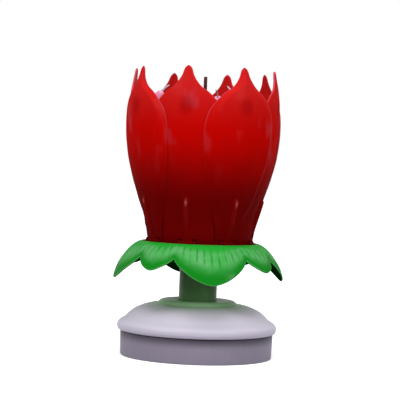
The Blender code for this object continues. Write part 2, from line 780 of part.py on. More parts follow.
def gearbox_plate(material):
    """The plate that carries motor, gear axle and the foot of the spindle."""
    outline = hull_of_circles((POST_A, POST_B, POST_C), PLATE_EDGE)
    plate = prism("gearbox_plate", outline, PLATE_Z, PLATE_Z + PLATE_T, material)
    low, high = PLATE_Z - OVERRUN, PLATE_Z + PLATE_T + OVERRUN
    holes = [cylinder("peg_hole", centre, POST_PEG_R + GAP, low, high) for centre in (POST_A, POST_B, POST_C)]
    holes.append(cylinder("spindle_hole", (0, 0), SPINDLE_R + RUN, low, high, 24))
    holes.append(cylinder("motor_hole", motor_centre(), MOTOR_BOSS_R + GAP, low, high, 16))
    holes.append(cylinder("axle_hole", compound_centre(), AXLE_R + GAP, low, high))
    return cut(plate, *holes)


def gear_outline(teeth, phase):
    """Straight-flanked teeth with a tooth's middle at the phase."""
    pitch_r = MODULE * teeth / 2
    half = (math.pi / 2 - BACKLASH_SHARE / 2) * MODULE / 2
    lean = math.tan(PRESSURE_ANGLE) * MODULE
    tip_half = half - ADDENDUM_SHARE * lean
    root_half = half + DEDENDUM_SHARE * lean / 2
    tip_r = pitch_r + ADDENDUM_SHARE * MODULE
    root_r = pitch_r - DEDENDUM_SHARE * MODULE
    points = []
    for tooth in range(teeth):
        middle = phase + 2 * math.pi * tooth / teeth
        for side, radius, width in ((-1, root_r, root_half), (-1, tip_r, tip_half),
                                    (1, tip_r, tip_half), (1, root_r, root_half)):
            angle = middle + side * width / radius
            points.append((radius * math.cos(angle), radius * math.sin(angle)))
    return points


def gear_train(plastic, brass, steel, flower):
    """Motor pinion, compound gear on its pin, and the output gear on the spindle, all in mesh."""
    back = COMPOUND_ANGLE + math.pi
    output = prism(
        "output_gear", gear_outline(OUTPUT_TEETH, COMPOUND_ANGLE), OUTPUT_Z, GEAR_TOP, plastic, flower,
    )
    hub = cylinder("hub", (0, 0), SPINDLE_R + GAP + BASE_WALL, LARGE_Z, OUTPUT_Z + BITE, 20)
    fuse(output, hub)
    cut(output, cylinder("bore", (0, 0), SPINDLE_R + GAP, PLATE_Z, GEAR_TOP + OVERRUN, 24))

    compound_axis = joint_empty("compound_gear_axis", (*compound_centre(), 0))
    compound = prism(
        "compound_gear", gear_outline(LARGE_TEETH, MOTOR_ANGLE), LARGE_Z, LARGE_Z + GEAR_FACE,
        plastic, compound_axis,
    )
    small = prism(
        "small_gear", gear_outline(SMALL_TEETH, back + math.pi / SMALL_TEETH), LARGE_Z + GEAR_FACE - BITE, GEAR_TOP,
    )
    small.location = (*compound_centre(), 0)
    fuse(compound, small)
    bore = cylinder("bore", compound_centre(), AXLE_R + RUN, PLATE_Z, GEAR_TOP + OVERRUN, 16)
    cut(compound, bore)
    cylinder("gear_axle", compound_centre(), AXLE_R, PLATE_Z - GAP, GEAR_TOP + OVERRUN, 16, steel)

    pinion_axis = joint_empty("motor_pinion_axis", (*motor_centre(), 0))
    pinion = prism(
        "motor_pinion", gear_outline(SMALL_TEETH, MOTOR_ANGLE + math.pi + math.pi / SMALL_TEETH),
        LARGE_Z, LARGE_Z + GEAR_FACE, brass, pinion_axis,
    )
    shaft_foot = MOTOR_Z + MOTOR_H - MOTOR_BOSS_R + GAP
    shaft = cylinder("shaft", motor_centre(), MOTOR_SHAFT_R, shaft_foot, LARGE_Z + BITE)
    fuse(pinion, shaft)


def sound_unit(board_material, chip_material, brass):
    low_z = FLOOR_TOP + BOARD_STAND_H + GAP
    low = (BOARD_CENTRE[0] - BOARD_SIZE[0] / 2, BOARD_CENTRE[1] - BOARD_SIZE[1] / 2, low_z)
    high = (BOARD_CENTRE[0] + BOARD_SIZE[0] / 2, BOARD_CENTRE[1] + BOARD_SIZE[1] / 2, low_z + BOARD_T)
    block("music_board", low, high, board_material)
    foot = low_z + BOARD_T + GAP
    dome = [(0, foot), (CHIP_R, foot), (CHIP_R * math.cos(math.pi / 6), foot + CHIP_H / 2),
            (CHIP_R / 2, foot + CHIP_H * math.cos(math.pi / 6)), (0, foot + CHIP_H)]
    chip = revolve("sound_chip", dome, 16, chip_material)
    chip.location = (*BOARD_CENTRE, 0)
    disc_z = FLOOR_TOP + DISC_SEAT_H + GAP
    cylinder("piezo_disc", DISC_CENTRE, DISC_R, disc_z, disc_z + DISC_T, 24, brass)


def switch(block_material, leaf_material):
    """The block on the floor, the leaf that the trigger rod holds down, and the contact above the leaf."""
    size_x, size_y = SWITCH_BLOCK_SIZE
    low_x = SWITCH_ARM - LEAF_BEND_R
    block_top = LEAF_Z + UPPER_CONTACT_LIFT + LEAF_T
    body = block(
        "switch_block", (low_x, -size_y / 2, FLOOR_TOP + GAP), (low_x + size_x, size_y / 2, block_top),
        block_material,
    )
    leaf_gap = LEAF_BEND_R + GAP
    cut(body, block(
        "leaf_slot",
        (low_x - OVERRUN, -LEAF_W / 2 - GAP, LEAF_Z - leaf_gap),
        (low_x + leaf_gap + LEAF_BEND_R, LEAF_W / 2 + GAP, LEAF_Z + leaf_gap),
    ))
    block(
        "switch_contact",
        (SWITCH_ARM - UPPER_CONTACT_L, -LEAF_W / 2, block_top + GAP),
        (low_x + size_x, LEAF_W / 2, block_top + GAP + LEAF_T),
        leaf_material,
    )
    pivot = joint_empty("switch_leaf_bend", (SWITCH_ARM, 0, LEAF_Z))
    leaf = block(
        "switch_leaf", (-SWITCH_ARM - LEAF_OVERHANG, -LEAF_W / 2, -LEAF_T / 2), (0, LEAF_W / 2, LEAF_T / 2),
        leaf_material, pivot,
    )
    fuse(leaf, bar("bend", (SWITCH_ARM, -LEAF_W / 2, LEAF_Z), (SWITCH_ARM, LEAF_W / 2, LEAF_Z), LEAF_BEND_R, 8))


def neck(tube_material, bush_material):
    bore = NECK_R - NECK_WALL
    revolve("neck_tube", [
        (bore, NECK_Z),
        (NECK_R + NECK_FLANGE, NECK_Z),
        (NECK_R + NECK_FLANGE, NECK_Z + NECK_FLANGE_T),
        (NECK_R, NECK_Z + NECK_FLANGE_T),
        (NECK_R, NECK_TOP),
        (bore, NECK_TOP),
    ], HUB_SEGMENTS, tube_material)
    bush_r = bore - GAP
    seat = NECK_TOP + GAP
    revolve("spindle_bush", [
        (SPINDLE_R + RUN, seat - BUSH_L),
        (bush_r, seat - BUSH_L),
        (bush_r, seat),
        (NECK_R, seat),
        (NECK_R, seat + BUSH_FLANGE_T),
        (SPINDLE_R + RUN, seat + BUSH_FLANGE_T),
    ], 24, bush_material)


def spindle(material, flower):
    foot = PLATE_Z - SPINDLE_FOOT
    top = HUB_Z - HUB_BOSS_DROP + SPINDLE_IN_HUB - GAP
    revolve("spindle", [
        (SPINDLE_BORE_R, foot),
        (SPINDLE_R, foot),
        (SPINDLE_R, top),
        (SPINDLE_BORE_R, top),
    ], 24, material, flower)


def pin_height():
    return PUSHER_TOP - PUSHER_SLEEVE_H + PIN_RISE


def socket_floor():
    """Where the tube's socket starts, above the cross pin at the end of its travel."""
    return PUSHER_TOP + PUSHER_TRAVEL + GAP + SOCKET_FLOOR_T


def petal_hub(material, flower):
    """The turned hub with its disc, boss and socket, and a pair of ears for each petal."""
    boss_foot = HUB_Z - HUB_BOSS_DROP
    bore_top = boss_foot + SPINDLE_IN_HUB
    socket_r = TUBE_R + GAP
    floor = socket_floor()
    hub = revolve("petal_hub", [
        (0, floor - SOCKET_FLOOR_T),
        (SPINDLE_BORE_R, floor - SOCKET_FLOOR_T),
        (SPINDLE_BORE_R, bore_top),
        (SPINDLE_R + GAP, bore_top),
        (SPINDLE_R + GAP, boss_foot),
        (HUB_BOSS_R, boss_foot),
        (HUB_BOSS_R, HUB_Z),
        (HINGE_R + EAR_R, HUB_Z),
        (HINGE_R + EAR_R, HUB_FLOOR),
        (HUB_BOSS_R, HUB_FLOOR),
        (HUB_BOSS_R, floor - SOCKET_FLOOR_T),
        (socket_r + SOCKET_WALL, floor),
        (socket_r + SOCKET_WALL, floor + SOCKET_DEPTH),
        (socket_r, floor + SOCKET_DEPTH),
        (socket_r, floor),
        (0, floor),
    ], HUB_SEGMENTS, material, flower)
    slot_half = PIN_R + GAP
    cut(hub, block(
        "pin_slot",
        (-HUB_BOSS_R - OVERRUN, -slot_half, pin_height() - PIN_R - GAP),
        (HUB_BOSS_R + OVERRUN, slot_half, pin_height() + PIN_R + PUSHER_TRAVEL + GAP),
    ))
    fuse(hub, *[ear(azimuth, side) for azimuth in petal_azimuths() for side in (-1, 1)])
    return hub


def ear(azimuth, side):
    """One hinge ear: a post with a round head and the trunnion's hole, in its place on the hub."""
    start, end = sorted((side * EAR_IN, side * EAR_OUT))
    head = [
        (EAR_R * math.cos(math.pi * step / 4), EAR_R * math.sin(math.pi * step / 4)) for step in range(5)
    ]
    foot = HUB_FLOOR - BITE - HINGE_Z
    made = prism("ear", head + [(-EAR_R, foot), (EAR_R, foot)], start, end)
    hole = cylinder("ear_hole", (0, 0), EAR_HOLE_R, start - OVERRUN, end + OVERRUN, 6)
    cut(made, hole)
    made.data.transform(UPRIGHT)
    made.data.transform(Matrix.Translation((0, -HINGE_R, HINGE_Z)))
    made.data.transform(Matrix.Rotation(azimuth, 4, "Z"))
    return made


def calyx_path():
    """The upper face of the calyx from the hole in its floor, up the cup's wall and over the roll."""
    floor_z = HUB_Z - GAP
    centre = (CALYX_CUP_R + CALYX_ROLL_R, CALYX_TOP - CALYX_ROLL_R)
    corner = CALYX_T
    path = [(HUB_BOSS_R + GAP, floor_z), (CALYX_CUP_R - corner, floor_z), (CALYX_CUP_R, floor_z + corner)]
    for angle in (math.radians(180), math.radians(138), math.radians(98)):
        path.append((centre[0] + CALYX_ROLL_R * math.cos(angle), centre[1] + CALYX_ROLL_R * math.sin(angle)))
    return path


def skirt_path(start):
    """The upper face of the skirt, from the end of the roll to the tip of a large sepal."""
    span = CALYX_R - start[0]
    return [start] + [(start[0] + span * r, start[1] - CALYX_DEPTH * z) for r, z in SKIRT_SHARES]


def point_at(path, reach):
    """The point of a path at this length along it."""
    left = reach
    for first, second in zip(path, path[1:]):
        step = math.dist(first, second)
        if left <= step:
            break
        left -= step
    share = min(left / step, 1)
    return first[0] + (second[0] - first[0]) * share, first[1] + (second[1] - first[1]) * share


def sepal_columns():
    """(azimuth, reach) of each column of the skirt, all the way round."""
    pitch = 2 * math.pi / SEPALS
    small_half = pitch / 2 - LARGE_HALF_SPAN
    columns = []
    for sepal in range(SEPALS):
        middle = CALYX_TURN + pitch * sepal
        for share in LARGE_COLUMN_SHARES:
            bulge = (1 - abs(share) ** 2.6) ** 0.62
            columns.append((middle + share * LARGE_HALF_SPAN, NOTCH_REACH + (LARGE_REACH - NOTCH_REACH) * bulge))
        for share in SMALL_COLUMN_SHARES:
            bulge = (1 - abs(share) ** 2.2) ** 0.70
            azimuth = middle + pitch / 2 + share * small_half
            columns.append((azimuth, NOTCH_REACH + (SMALL_REACH - NOTCH_REACH) * bulge))
    return columns


def calyx(material, flower):
    """One thin shell: each column is a closed section, and the columns run round the axis."""
    cup = calyx_path()
    skirt = skirt_path(cup[-1])
    points = []
    columns = sepal_columns()
    for azimuth, reach in columns:
        upper = cup + [point_at(skirt, reach * share) for share in SKIRT_ROW_SHARES]
        lower = offset_path(upper, CALYX_T)
        for radius, height in upper + lower[::-1]:
            points.append((*around(azimuth, radius), height))
    ring = len(points) // len(columns)
    faces = []
    for column in range(len(columns)):
        following = (column + 1) % len(columns)
        for row in range(ring):
            after = (row + 1) % ring
            faces.append([column * ring + row, following * ring + row, following * ring + after, column * ring + after])
    return make_object("calyx", mesh_of("calyx", points, faces), material, flower)


def pusher(material, steel, lift):
    """The ring under the heels, the cross pin, and the rod down the spindle."""
    foot = PUSHER_TOP - PUSHER_SLEEVE_H
    bore = HUB_BOSS_R + GAP
    ring = revolve("pusher_ring", [
        (bore, foot),
        (bore + PUSHER_SLEEVE_T, foot),
        (bore + PUSHER_SLEEVE_T, PUSHER_TOP - PUSHER_T),
        (PUSHER_R, PUSHER_TOP - PUSHER_T),
        (PUSHER_R, PUSHER_TOP),
        (bore, PUSHER_TOP),
    ], HUB_SEGMENTS, material, lift)
    reach = bore + PUSHER_SLEEVE_T
    cuts = [bar("pin_hole", (-reach - OVERRUN, 0, pin_height()), (reach + OVERRUN, 0, pin_height()), PIN_HOLE_R, 8)]
    cut(ring, *cuts)
    bar("trigger_pin", (-reach, 0, pin_height()), (reach, 0, pin_height()), PIN_R, 8, steel, lift)
    rod = cylinder(
        "trigger_rod", (0, 0), ROD_R, LEAF_Z + LEAF_T / 2 + GAP, pin_height() + ROD_HEAD, SMALL_SEGMENTS, steel, lift,
    )
    cut(rod, bar("eye", (-reach, 0, pin_height()), (reach, 0, pin_height()), PIN_HOLE_R, 8))


def opening_spring(material, flower):
    """A conical spring between hub floor and pusher ring, shown with the bud closed."""
    steps = 10
    count = round(SPRING_TURNS * steps)
    low = HUB_FLOOR + GAP + SPRING_WIRE_R
    high = PUSHER_TOP - PUSHER_T - GAP - SPRING_WIRE_R
    points = []
    for step in range(count + 1):
        share = step / count
        radius = SPRING_FOOT_R + (SPRING_TOP_R - SPRING_FOOT_R) * share
        points.append((*around(2 * math.pi * step / steps, radius), low + (high - low) * share))
    turns = np.array(points)
    apart = np.linalg.norm(turns[steps:] - turns[:-steps], axis=1).min() - 2 * SPRING_WIRE_R
    print(f"opening spring: least gap between turns {apart:.5f} m")
    return wire("opening_spring", points, SPRING_WIRE_R, material, flower)


def fountain(paper, charge_material, fuse_material, flower):
    """The firework tube in its socket, its charge and the fuse."""
    foot = socket_floor() + GAP
    top = foot + TUBE_L
    bore = TUBE_R - TUBE_WALL
    revolve("fountain_tube", [(bore, foot), (TUBE_R, foot), (TUBE_R, top), (bore, top)], 20, paper, flower)
    face = top - CHARGE_SET_BACK
    hole = FUSE_R + GAP
    revolve("fountain_charge", [
        (0, foot + GAP),
        (bore - GAP, foot + GAP),
        (bore - GAP, face),
        (hole, face),
        (hole, face - FUSE_IN),
        (0, face - FUSE_IN),
    ], 14, charge_material, flower)
    cylinder("fuse", (0, 0), FUSE_R, face - FUSE_IN + GAP, top + FUSE_OUT, 10, fuse_material, flower)


def petal_azimuths():
    return [FIRST_AZIMUTH + 2 * math.pi * number / PETALS for number in range(PETALS)]


def layer_inset(share, outer):
    """How far an inner petal lies inside the outline at this share of the height."""
    if outer:
        return 0
    rise = min(share / LAYER_RISE_SHARE, 1)
    return LAYER_STEP * rise * rise * (3 - 2 * rise)


def petal_rows(outer):
    """(height share, height, radius of the outside, half angle) of each row."""
    return [
        (
            share,
            PETAL_Z + PETAL_H * share,
            PETAL_R * radius - layer_inset(share, outer),
            PETAL_HALF_ANGLE * (outer_width if outer else inner_width),
        )
        for share, radius, outer_width, inner_width in PETAL_ROW_SHARES
    ]


def rib_height(share):
    if share > RIB_TOP_SHARE:
        return 0
    grown = max(0, min(1, (share - RIB_FOOT_SHARE) / (RIB_TOP_SHARE - RIB_FOOT_SHARE) * 2))
    return RIB_H * (RIB_FOOT_H_SHARE + (1 - RIB_FOOT_H_SHARE) * grown)


def petal_place(azimuth, radius, height):
    """A point of the flower in the petal's own frame, whose origin is on the hinge axis."""
    x, y = around(azimuth, radius)
    return Vector((x, y + HINGE_R, height - HINGE_Z))


def wall_radius(rows, height):
    """The radius of the petal's inside at a height."""
    heights = [row[1] for row in rows]
    return float(np.interp(height, heights, [row[2] for row in rows])) - PETAL_T


def petal_shell(name, rows, twist, material, parent):
    """A curved leaf of even thickness: columns across, rows up, and the rib on its outside."""
    outside = []
    inside = []
    for index, (share, height, radius, half_angle) in enumerate(rows):
        before = rows[max(index - 1, 0)]
        after = rows[min(index + 1, len(rows) - 1)]
        slope = math.atan2(after[2] - before[2], after[1] - before[1])
        ribbed = share <= RIB_TOP_SHARE
        shares = [half_angle * column for column in PETAL_COLUMN_SHARES]
        if ribbed:
            shares += [RIB_BASE_HALF / radius, RIB_TOP_HALF / radius]
        else:
            shares += [half_angle * column for column in RIB_COLUMN_SHARES]
        angles = [-angle for angle in shares] + shares[::-1]
        middle = twist * share * share
        for column, angle in enumerate(angles):
            raised = rib_height(share) if abs(column - (len(angles) - 1) / 2) < 1 else 0
            outside.append(petal_place(middle + angle, radius + raised, height))
            inside.append(petal_place(
                middle + angle, radius - PETAL_T * math.cos(slope), height + PETAL_T * math.sin(slope),
            ))
    width = len(outside) // len(rows)
    count = len(outside)
    faces = []
    for row in range(len(rows) - 1):
        for column in range(width - 1):
            corner = row * width + column
            faces.append([corner, corner + 1, corner + 1 + width, corner + width])
            faces.append([count + corner, count + corner + width, count + corner + width + 1, count + corner + 1])
    bottom = list(range(width))
    top = list(range(count - 1, count - 1 - width, -1))
    right = [row * width + width - 1 for row in range(1, len(rows) - 1)]
    left = [row * width for row in range(len(rows) - 2, 0, -1)]
    border = bottom + right + top + left
    for first, second in zip(border, border[1:] + border[:1]):
        faces.append([first, second, count + second, count + first])
    return make_object(name, mesh_of(name, outside + inside, faces), material, parent)


def cup_axis(rows, twist):
    """The middle of the cup's base and the direction of its axis, in the petal's frame."""
    base_z = PETAL_Z + CUP_HEIGHT
    rise = (base_z - PETAL_Z) / PETAL_H
    azimuth = twist * rise * rise
    base_r = wall_radius(rows, base_z) + BITE - CUP_R * math.cos(CUP_LEAN)
    base = petal_place(azimuth, base_r, base_z)
    ahead = petal_place(azimuth, base_r - CUP_R * math.sin(CUP_LEAN), base_z + CUP_R * math.cos(CUP_LEAN))
    return base, (ahead - base).normalized(), azimuth


def candle_cup(rows, twist):
    """The round cup, solid here, and the gusset that carries it off the petal's wall."""
    base, along, azimuth = cup_axis(rows, twist)
    cup = bar("cup", base, base + along * (CUP_FLOOR + CUP_DEPTH), CUP_R)
    base_z = PETAL_Z + CUP_HEIGHT
    corner_z = base_z + CUP_R * math.sin(CUP_LEAN)
    wall_high = wall_radius(rows, corner_z) + BITE
    wall_low = wall_radius(rows, base_z - GUSSET_DROP) + BITE
    nose_r = wall_high - 2 * CUP_R * math.cos(CUP_LEAN)
    nose_z = base_z - CUP_R * math.sin(CUP_LEAN)
    lift = CUP_FLOOR / 2
    outline = [
        (wall_low, base_z - GUSSET_DROP),
        (wall_high, corner_z + lift),
        (nose_r + CUP_WALL, nose_z + lift + CUP_WALL),
    ]
    gusset = prism("gusset", outline, -GUSSET_HALF, GUSSET_HALF)
    gusset.data.transform(Matrix.Rotation(azimuth, 4, "Z") @ UPRIGHT)
    gusset.data.transform(Matrix.Translation((0, HINGE_R, -HINGE_Z)))
    return cup, gusset


def petal(number, azimuth, twist, material, wax, wick_material, flower):
    """A petal on its hinge, with its candle and wick."""
    outer = number % 2 == 1
    x, y = around(azimuth, HINGE_R)
    pivot = joint_empty(f"petal_{number}_hinge", (x, y, HINGE_Z), azimuth, flower)
    rows = petal_rows(outer)
    made = petal_shell(f"petal_{number}", rows, twist, material, None)
    near, far = -HINGE_R / 2, HINGE_R / 2
    notches = []
    for side in (-1, 1):
        ends = sorted((side * (KNUCKLE_HALF - BITE), side * (EAR_OUT + GAP)))
        notches.append(block("ear_notch", (ends[0], near, -EAR_R * 2), (ends[1], far, EAR_NOTCH_RISE)))
    cut(made, *notches)
    knuckle = bar("knuckle", (-KNUCKLE_HALF, 0, 0), (KNUCKLE_HALF, 0, 0), KNUCKLE_R, 8)
    trunnion = bar("trunnion", (-EAR_OUT, 0, 0), (EAR_OUT, 0, 0), TRUNNION_R, 6)
    heel = block("heel", (-HEEL_HALF, 0, -HEEL_T / 2), (HEEL_HALF, HEEL_L, HEEL_T / 2))
    nose_half = HEEL_HALF - BITE
    nose = bar("nose", (-nose_half, HEEL_L, -NOSE_DROP), (nose_half, HEEL_L, -NOSE_DROP), NOSE_R, 8)
    fuse(made, knuckle, trunnion, heel, nose, *candle_cup(rows, twist))
    base, along, _ = cup_axis(rows, twist)
    cut(made, bar("bore", base + along * CUP_FLOOR, base + along * (CUP_FLOOR + CUP_DEPTH + OVERRUN), CUP_BORE_R))
    made.parent = pivot

    foot = base + along * (CUP_FLOOR + GAP)
    profile = [
        (0, 0),
        (CANDLE_R, 0),
        (CANDLE_R, CANDLE_L - CANDLE_TIP),
        (CANDLE_R - CANDLE_TIP, CANDLE_L),
        (WICK_HOLE_R, CANDLE_L),
        (WICK_HOLE_R, CANDLE_L - WICK_HOLE_DEPTH),
        (0, CANDLE_L - WICK_HOLE_DEPTH),
    ]
    candle = revolve(f"candle_{number}", profile, 8, wax, pivot)
    candle.data.transform(Matrix.Translation(foot) @ along.to_track_quat("Z", "Y").to_matrix().to_4x4())
    root = foot + along * (CANDLE_L - WICK_HOLE_DEPTH + GAP)
    straight = WICK_HOLE_DEPTH - GAP
    length = straight + WICK_OUT
    inward = Vector((0, 1, 0))
    route = []
    for share in (0, 0.4, 0.7, 1.0):
        past = max(0, share * length - straight) / WICK_OUT
        route.append(root + along * (share * length) + inward * (WICK_CURL * past * past))
    wire(f"wick_{number}", route, WICK_R, wick_material, pivot)


def main():
    clear_scene()
    drum_plastic = finish("grey_violet_plastic", GREY_VIOLET, 0.42)
    lid_plastic = finish("lavender_plastic", LAVENDER, 0.38)
    red_plastic = finish("red_translucent_plastic", RED, 0.22)
    green_plastic = finish("green_plastic", GREEN, 0.30)
    wax = finish("pink_wax", PINK, 0.55)
    wick = finish("wick_cotton", (0.60, 0.56, 0.62), 0.9)
    steel = finish("steel", (0.62, 0.62, 0.64), 0.3, 1.0)
    brass = finish("brass", (0.76, 0.58, 0.28), 0.35, 1.0)
    white_plastic = finish("white_acetal", (0.80, 0.80, 0.76), 0.45)
    dark_plastic = finish("dark_plastic", (0.05, 0.05, 0.055), 0.5)
    board = finish("circuit_board", (0.03, 0.18, 0.08), 0.5)
    cell_wrap = finish("cell_wrap", (0.12, 0.13, 0.16), 0.35)
    paper = finish("tube_paper", (0.55, 0.30, 0.24), 0.8)
    charge = finish("charge", (0.24, 0.23, 0.22), 0.95)
    fuse_paper = finish("fuse_paper", (0.16, 0.035, 0.045), 0.75)

    base_drum(drum_plastic)
    base_lid(lid_plastic)
    base_screws(steel)
    battery_door(drum_plastic)
    aa_cell(cell_wrap)
    battery_contacts(steel)
    motor(steel, dark_plastic)
    gearbox_plate(white_plastic)
    sound_unit(board, dark_plastic, brass)
    switch(dark_plastic, brass)
    neck(lid_plastic, white_plastic)

    flower = joint_empty("flower_turn")
    gear_train(white_plastic, brass, steel, flower)
    spindle(white_plastic, flower)
    petal_hub(red_plastic, flower)
    calyx(green_plastic, flower)
    opening_spring(steel, flower)
    fountain(paper, charge, fuse_paper, flower)
    lift = joint_empty("pusher_lift", parent=flower)
    pusher(white_plastic, steel, lift)
    for number, (azimuth, twist) in enumerate(zip(petal_azimuths(), PETAL_TWISTS), 1):
        petal(number, azimuth, twist, red_plastic, wax, wick, flower)


main()
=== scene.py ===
"""Looks of a musical birthday candle: a closed flower bud on a round base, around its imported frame.

Metres, +Z up, in the frame of the solids: the origin is under the middle of the base and -Y is
the front. An azimuth is an angle from the front, positive towards +X.
"""

import json
import logging
import math
from bisect import bisect_right
from dataclasses import dataclass
from enum import Enum
from typing import Callable, Iterable, Optional, Sequence, Union

import bmesh
import bpy
from mathutils import Matrix, Vector


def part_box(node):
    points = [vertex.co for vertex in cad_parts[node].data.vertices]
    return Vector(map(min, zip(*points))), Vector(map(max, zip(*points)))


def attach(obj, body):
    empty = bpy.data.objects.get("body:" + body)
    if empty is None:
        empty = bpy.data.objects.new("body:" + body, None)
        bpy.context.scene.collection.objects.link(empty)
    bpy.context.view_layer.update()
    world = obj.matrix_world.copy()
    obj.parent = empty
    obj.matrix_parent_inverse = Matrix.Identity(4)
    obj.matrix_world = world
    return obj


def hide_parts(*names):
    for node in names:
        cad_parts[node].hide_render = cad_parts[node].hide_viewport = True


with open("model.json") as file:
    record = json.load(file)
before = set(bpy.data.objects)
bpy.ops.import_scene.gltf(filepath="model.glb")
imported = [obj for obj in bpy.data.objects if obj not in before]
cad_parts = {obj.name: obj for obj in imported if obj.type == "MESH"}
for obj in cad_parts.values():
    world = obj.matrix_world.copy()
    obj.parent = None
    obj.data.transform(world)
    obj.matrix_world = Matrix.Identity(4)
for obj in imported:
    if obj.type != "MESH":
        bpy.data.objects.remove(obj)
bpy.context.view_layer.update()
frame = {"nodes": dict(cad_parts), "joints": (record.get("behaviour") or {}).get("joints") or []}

LOG = logging.getLogger("flower_candle")
MM = 0.001
MERGE = 1e-6  # points closer than this are one point
SEAM = 0.01 * MM  # reach within which the two faces of a leaf are joined along their edge
GAP = 0.3 * MM  # left between a rebuilt piece and its neighbour
RIM_W = 0.9 * MM  # width of the strip along an edge that a finish may lighten

Point = tuple[float, float]
Range = tuple[float, float]  # its low and its high end
Span = tuple[float, float]  # its start and its length
Colour = tuple[float, float, float]
Amount = Union[float, "Signal"]


class Slot(Enum):
    """The record's material slots that the pieces take their finishes from."""

    DRUM = "drum_plastic"
    LID = "lid_plastic"
    RED = "red_plastic"
    GREEN = "green_plastic"
    WAX = "wax"
    WICK = "wick_cotton"
    STEEL = "steel"
    BRASS = "brass"
    WHITE = "white_plastic"
    DARK = "dark_plastic"
    BOARD = "circuit_board"
    CELL = "cell_wrap"
    TUBE = "tube_paper"
    CHARGE = "charge"
    FUSE = "fuse_paper"


class Signal:
    """A socket of a material's nodes. Sums with it add Math nodes."""

    def __init__(self, graph: "Graph", socket: bpy.types.NodeSocket) -> None:
        """Keep the socket and the graph that it belongs to."""
        self.graph = graph
        self.socket = socket

    def _math(self, operation: str, first: Amount, second: Amount = 0.0) -> "Signal":
        """Add a Math node on two values or signals."""
        return self.graph.node("ShaderNodeMath", {"operation": operation}, {0: first, 1: second})

    def __add__(self, other: Amount) -> "Signal":
        """Add."""
        return self._math("ADD", self, other)

    def __radd__(self, other: Amount) -> "Signal":
        """Add, with the signal on the right."""
        return self._math("ADD", other, self)

    def __sub__(self, other: Amount) -> "Signal":
        """Subtract."""
        return self._math("SUBTRACT", self, other)

    def __rsub__(self, other: Amount) -> "Signal":
        """Subtract the signal from a number."""
        return self._math("SUBTRACT", other, self)

    def __mul__(self, other: Amount) -> "Signal":
        """Multiply."""
        return self._math("MULTIPLY", self, other)

    def __rmul__(self, other: Amount) -> "Signal":
        """Multiply, with the signal on the right."""
        return self._math("MULTIPLY", other, self)

    def __pow__(self, other: Amount) -> "Signal":
        """Raise to a power."""
        return self._math("POWER", self, other)

    def size(self) -> "Signal":
        """Drop the sign."""
        return self._math("ABSOLUTE", self)

    def wave(self) -> "Signal":
        """Take the cosine."""
        return self._math("COSINE", self)

    def rise(self, low: float, high: float) -> "Signal":
        """Grow smoothly from 0 at low to 1 at high.

        Args:
            low: Where the result starts to grow.
            high: Where the result reaches 1.

        Returns:
            The new signal, from 0 to 1.
        """
        inputs = {0: self, 1: low, 2: high, 3: 0.0, 4: 1.0}
        return self.graph.node("ShaderNodeMapRange", {"interpolation_type": "SMOOTHSTEP"}, inputs)

    def pick(self, low: Union[Colour, "Signal"], high: Union[Colour, "Signal"]) -> "Signal":
        """Mix two colours: the first where the signal is 0, the second where it is 1."""
        inputs = {0: self, 6: low, 7: high}
        return self.graph.node("ShaderNodeMix", {"data_type": "RGBA"}, inputs, 2)


class Graph:
    """A tree of shader nodes that grows as it is called."""

    def __init__(self, tree: bpy.types.NodeTree) -> None:
        """Keep the tree."""
        self.tree = tree

    def feed(self, socket: bpy.types.NodeSocket, value: Union[Amount, Colour]) -> None:
        """Link a signal to a socket, or set the socket to a value."""
        if isinstance(value, Signal):
            self.tree.links.new(value.socket, socket)
        elif isinstance(value, tuple) and socket.type == "RGBA":
            socket.default_value = (*value, 1)
        else:
            socket.default_value = value

    def node(
        self, kind: str, settings: Optional[dict] = None, inputs: Optional[dict] = None,
        output: Union[int, str] = 0,
    ) -> Signal:
        """Add a node of any type.

        Args:
            kind: The node's type.
            settings: Its properties, set first.
            inputs: Values or signals for its sockets, by name or number.
            output: The name or number of the socket to return.

        Returns:
            The chosen output as a signal.
        """
        made = self.tree.nodes.new(kind)
        for name, value in (settings or {}).items():
            setattr(made, name, value)
        for socket, value in (inputs or {}).items():
            self.feed(made.inputs[socket], value)
        return Signal(self, made.outputs[output])

    def seen(self) -> Signal:
        """1 for rays from the camera, and for rays by way of gloss or glass."""
        rays = [
            self.node("ShaderNodeLightPath", output=name)
            for name in ("Is Camera Ray", "Is Glossy Ray", "Is Transmission Ray")
        ]
        return (rays[0] + rays[1] + rays[2]).rise(0.0, 1.0)

    def place(self) -> Signal:
        """Object coordinates, which are the frame's metres on every piece here."""
        return self.node("ShaderNodeTexCoord", output="Object")

    def stretched(self, scale: Colour) -> Signal:
        """Object coordinates scaled along each axis."""
        return self.node("ShaderNodeMapping", inputs={"Vector": self.place(), "Scale": scale})

    def axis(self, letter: str) -> Signal:
        """One of the object coordinates."""
        return self.node("ShaderNodeSeparateXYZ", inputs={0: self.place()}, output=letter)

    def radius(self) -> Signal:
        """The distance from the upright axis."""
        flat = self.stretched((1, 1, 0))
        return self.node("ShaderNodeVectorMath", {"operation": "LENGTH"}, {0: flat}, "Value")

    def noise(self, size: float, detail: float = 3.0, where: Optional[Signal] = None) -> Signal:
        """Noise from 0 to 1 with spots of about this size."""
        inputs = {"Vector": where or self.place(), "Scale": 1 / size, "Detail": detail}
        return self.node("ShaderNodeTexNoise", inputs=inputs)

    def painted(self, name: str) -> Signal:
        """A number that the mesh carries at each of its points."""
        return self.node("ShaderNodeAttribute", {"attribute_name": name}, output="Fac")


